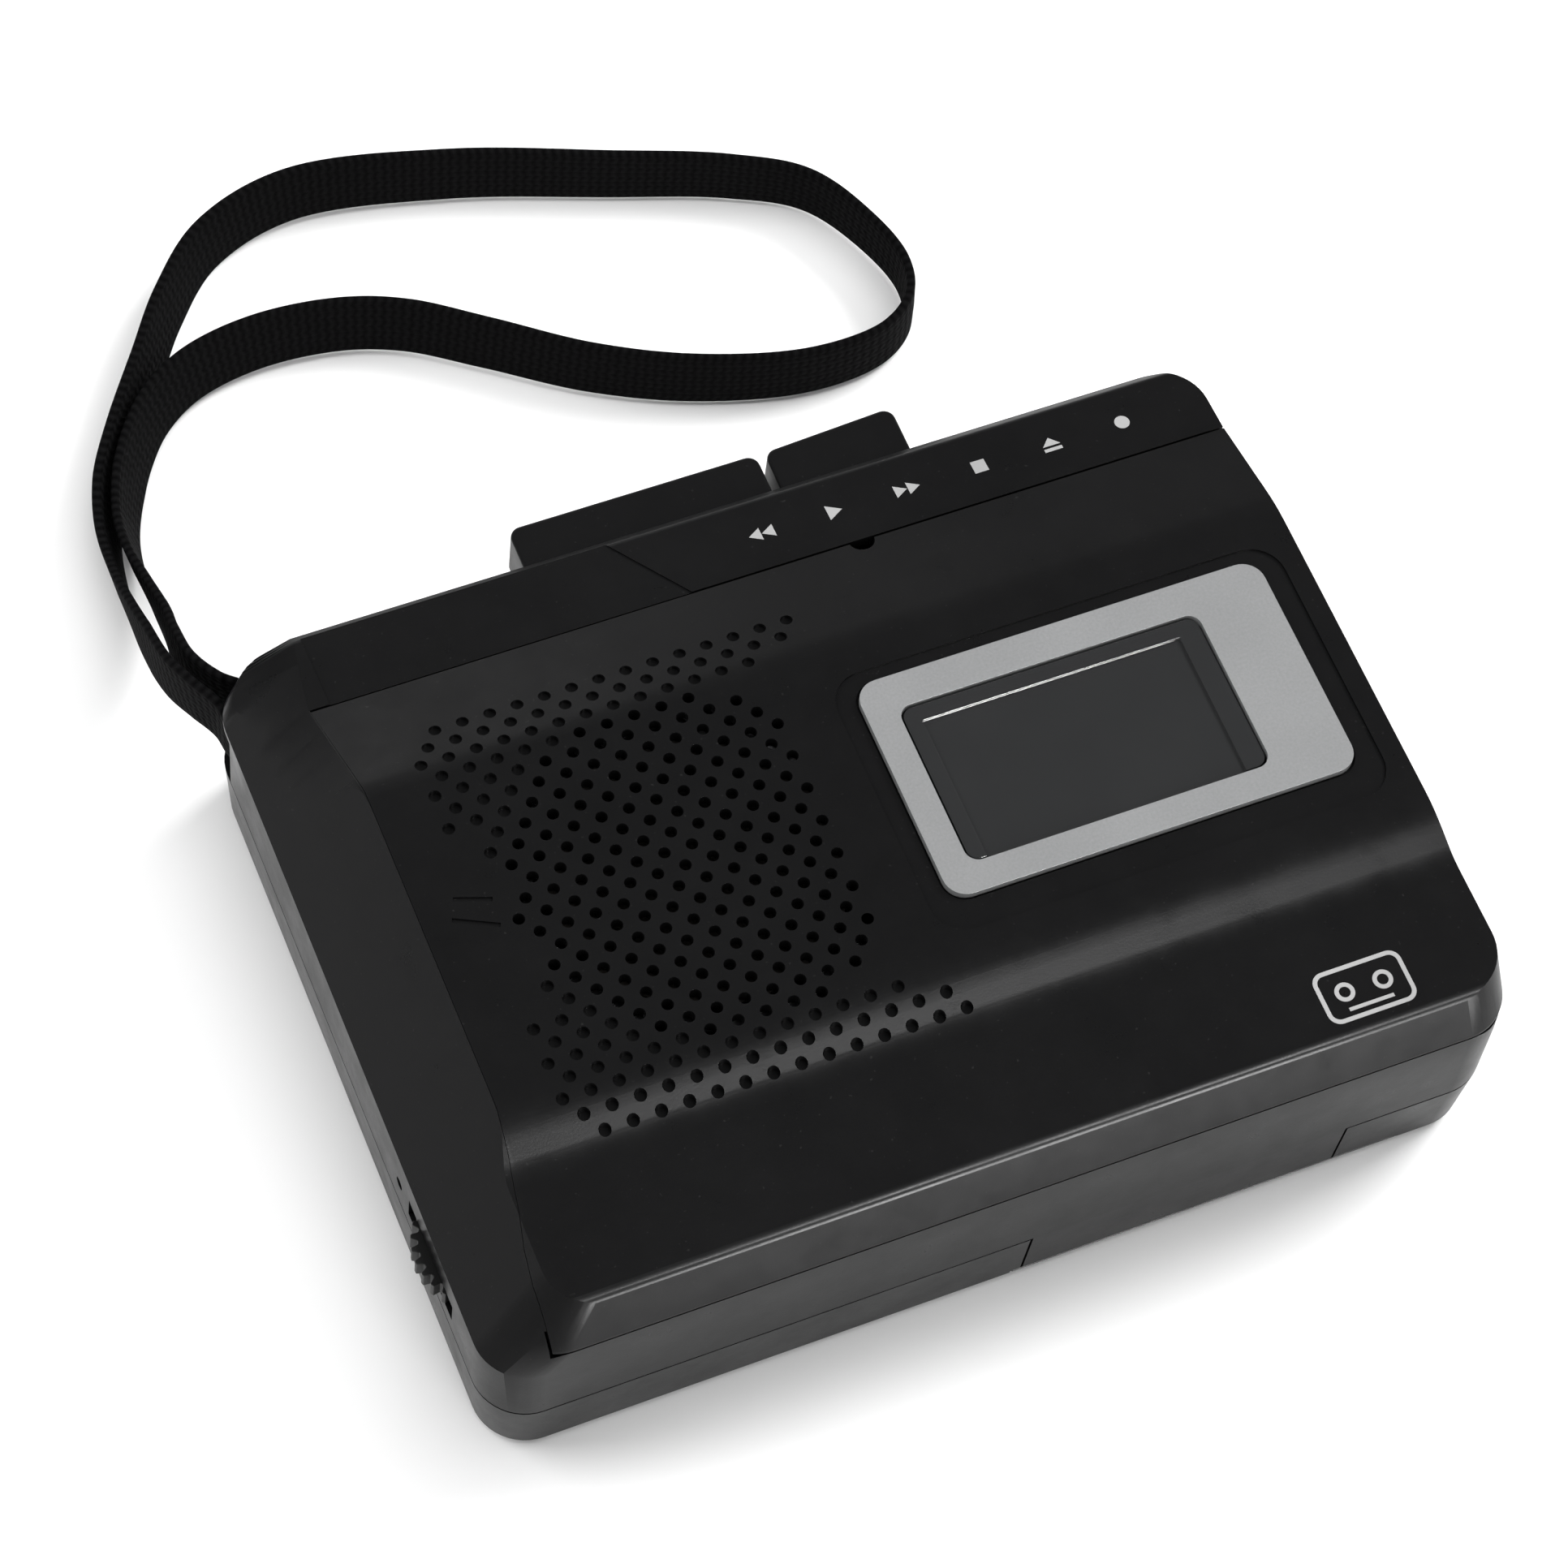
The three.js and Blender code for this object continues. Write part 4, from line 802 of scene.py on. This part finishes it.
turned("speaker_chassis", "lid", "zinc_plate",
       [(9.6, 25.4), (11, 25.4), (18.5, 28.2), (19.5, 28.2), (19.5, 29.5), (17.9, 29.5), (17.3, 28.8),
        (11, 26.2), (9.6, 26.2), (9.6, 25.4)], *SPEAKER, ["speaker_basket"], 0.1)
turned("speaker_diaphragm", "lid", "speaker_paper",
       [(0, 27.2), (5, 26.9), (10.7, 27.4), (13.5, 28.6), (15, 28.95), (16.575, 29.2), (16.575, 29.5),
        (15.4, 29.35), (13.6, 29.0), (9.75, 27.9), (5, 27.4), (3, 27.75), (0, 27.8)],
       *SPEAKER, ["speaker_cone"], 0)
turned("speaker_magnet_turned", "lid", "zinc_plate",
       [(0, 24.7), (9, 24.7), (9.2, 24.9), (9.2, 26.2), (9, 26.4), (0, 26.4)],
       *SPEAKER, ["speaker_magnet"], 0.1)

for node in frame["nodes"].values():
    if not node.hide_render:
        refine(node.name, 0.06, segments=2)


# ---------- small marks ----------
MARK_SUNK, MARK_PROUD = 0.05, 0.03


def mark(name, outline):
    """Thin printed shape that follows the name strip."""
    piece = prism(outline, 0, 1, lambda a, b, h: (a, b, strip_height(b) - MARK_SUNK
                                                  + h * (MARK_SUNK + MARK_PROUD)))
    return place(piece, name, "case", "case_plastic", "print", bevel=0)


def arrow(x, y, size, way):
    """Triangle pointing along X; way is 1 for right and -1 for left."""
    back_x, rise = x - way * size / 2, size * 0.58
    return [(back_x, y - rise), (x + way * size / 2, y), (back_x, y + rise)][::way]


def bar(x, y, w, h):
    return [(x - w / 2, y - h / 2), (x + w / 2, y - h / 2), (x + w / 2, y + h / 2), (x - w / 2, y + h / 2)]


ROW_Y = 39.3
MARKS = {
    "mark_rewind_a": arrow(3.2, ROW_Y, 1.5, -1),
    "mark_rewind_b": arrow(4.8, ROW_Y, 1.5, -1),
    "mark_play": arrow(13, ROW_Y, 1.8, 1),
    "mark_forward_a": arrow(21.2, ROW_Y, 1.5, 1),
    "mark_forward_b": arrow(22.8, ROW_Y, 1.5, 1),
    "mark_stop": bar(31, ROW_Y, 1.7, 1.7),
    "mark_eject": [(38.9, ROW_Y - 0.2), (41.1, ROW_Y - 0.2), (40, ROW_Y + 0.95)],
    "mark_eject_bar": bar(40, ROW_Y - 0.75, 2.2, 0.45),
    "mark_record": circle(49, ROW_Y, 0.9, 28)}
for name, outline in MARKS.items():
    mark(name, outline)


BADGE_LOW, BADGE_HIGH = 29.12, 29.22


def badge():
    """Printed outline of a tape cassette: a rounded border with two hub rings and a window bar."""
    def ring(outer_line, inner_line):
        count = len(outer_line)
        points = [(x, y, z) for z in (BADGE_LOW, BADGE_HIGH) for line in (outer_line, inner_line)
                  for x, y in line]
        faces = []
        for i in range(count):
            j = (i + 1) % count
            o0, o1, n0, n1 = i, j, count + i, count + j
            faces += [(o0, n0, n1, o1), (o0 + 2 * count, o1 + 2 * count, n1 + 2 * count, n0 + 2 * count),
                      (o0, o1, o1 + 2 * count, o0 + 2 * count),
                      (n0, n0 + 2 * count, n1 + 2 * count, n1)]
        return solid(points, faces)
    shapes = [ring(rounded(38, 48.6, -40.3, -33.9, 1.4), rounded(38.5, 48.1, -39.8, -34.4, 0.95))]
    shapes += [ring(circle(x, -36.9, 1.15, 32), circle(x, -36.9, 0.65, 32)) for x in (41, 45.6)]
    shapes.append(prism_z(bar(43.3, -39.0, 5.4, 0.42), BADGE_LOW, BADGE_HIGH))
    for i, shape in enumerate(shapes):
        place(shape, f"badge_{i}", "lid", "case_plastic", "print", bevel=0)


badge()

# ---------- surroundings ----------
FLOOR_Z = -0.00015      # metres, just clear of the case's underside
floor_mesh = bmesh.new()
bmesh.ops.create_grid(floor_mesh, x_segments=8, y_segments=8, size=4)
floor = mesh_object("floor", floor_mesh)
floor.location.z = FLOOR_Z
pale = Nodes("pale_floor")
pale_colour = pale.blend(pale.noise(3, 2), (0.86, 0.86, 0.86), (0.88, 0.88, 0.88))
floor.data.materials.append(pale.put(Base_Color=pale_colour, Roughness=0.85, Specular_IOR_Level=0.1))

world = bpy.data.worlds.new("studio")
scene.world = world
world.use_nodes = True
tree = world.node_tree
height = tree.nodes.new("ShaderNodeSeparateXYZ")
tree.links.new(tree.nodes.new("ShaderNodeTexCoord").outputs["Generated"], height.inputs[0])
falloff = tree.nodes.new("ShaderNodeMapRange")
falloff.interpolation_type = "SMOOTHSTEP"
for key, value in {"From Min": 0.16, "From Max": 0.60, "To Min": 0.50, "To Max": 0.025}.items():
    falloff.inputs[key].default_value = value
tree.links.new(height.outputs["Z"], falloff.inputs["Value"])
tree.links.new(falloff.outputs["Result"], tree.nodes["Background"].inputs["Strength"])
tree.nodes["Background"].inputs["Color"].default_value = (1, 1, 1, 1)


def area_light(name, where, target, size, power, glossy=False):
    """Square lamp; a glossy one shows only in reflections and the others never do."""
    light = bpy.data.objects.new(name, bpy.data.lights.new(name, "AREA"))
    scene.collection.objects.link(light)
    light.data.shape, light.data.size, light.data.energy = "SQUARE", size, power
    light.location = where
    light.rotation_euler = (Vector(target) - Vector(where)).to_track_quat("-Z", "Y").to_euler()
    light.visible_glossy, light.visible_diffuse = glossy, not glossy


MIDDLE, FRONT_EDGE = (0, 0, 0), (0, -0.045, 0.025)
area_light("key_light", (1.05, 0.35, 0.95), MIDDLE, 0.6, 22)
area_light("side_light", (-1.0, 0.65, 0.9), MIDDLE, 0.9, 13.5)
area_light("front_light", (-0.1, -1.3, 0.7), MIDDLE, 1.0, 9)
area_light("top_light", (0.2, 0.1, 1.6), MIDDLE, 1.6, 21)
area_light("crest_light", (0.225, -0.55, 0.76), FRONT_EDGE, 0.2, 12, True)
area_light("lip_light", (0.24, -0.9, 0.12), FRONT_EDGE, 0.25, 15, True)
area_light("band_light", (0.05, 0.88, 0.5), (0, 0.03, 0.03), 0.3, 0.6, True)
scene.view_settings.view_transform = "Standard"
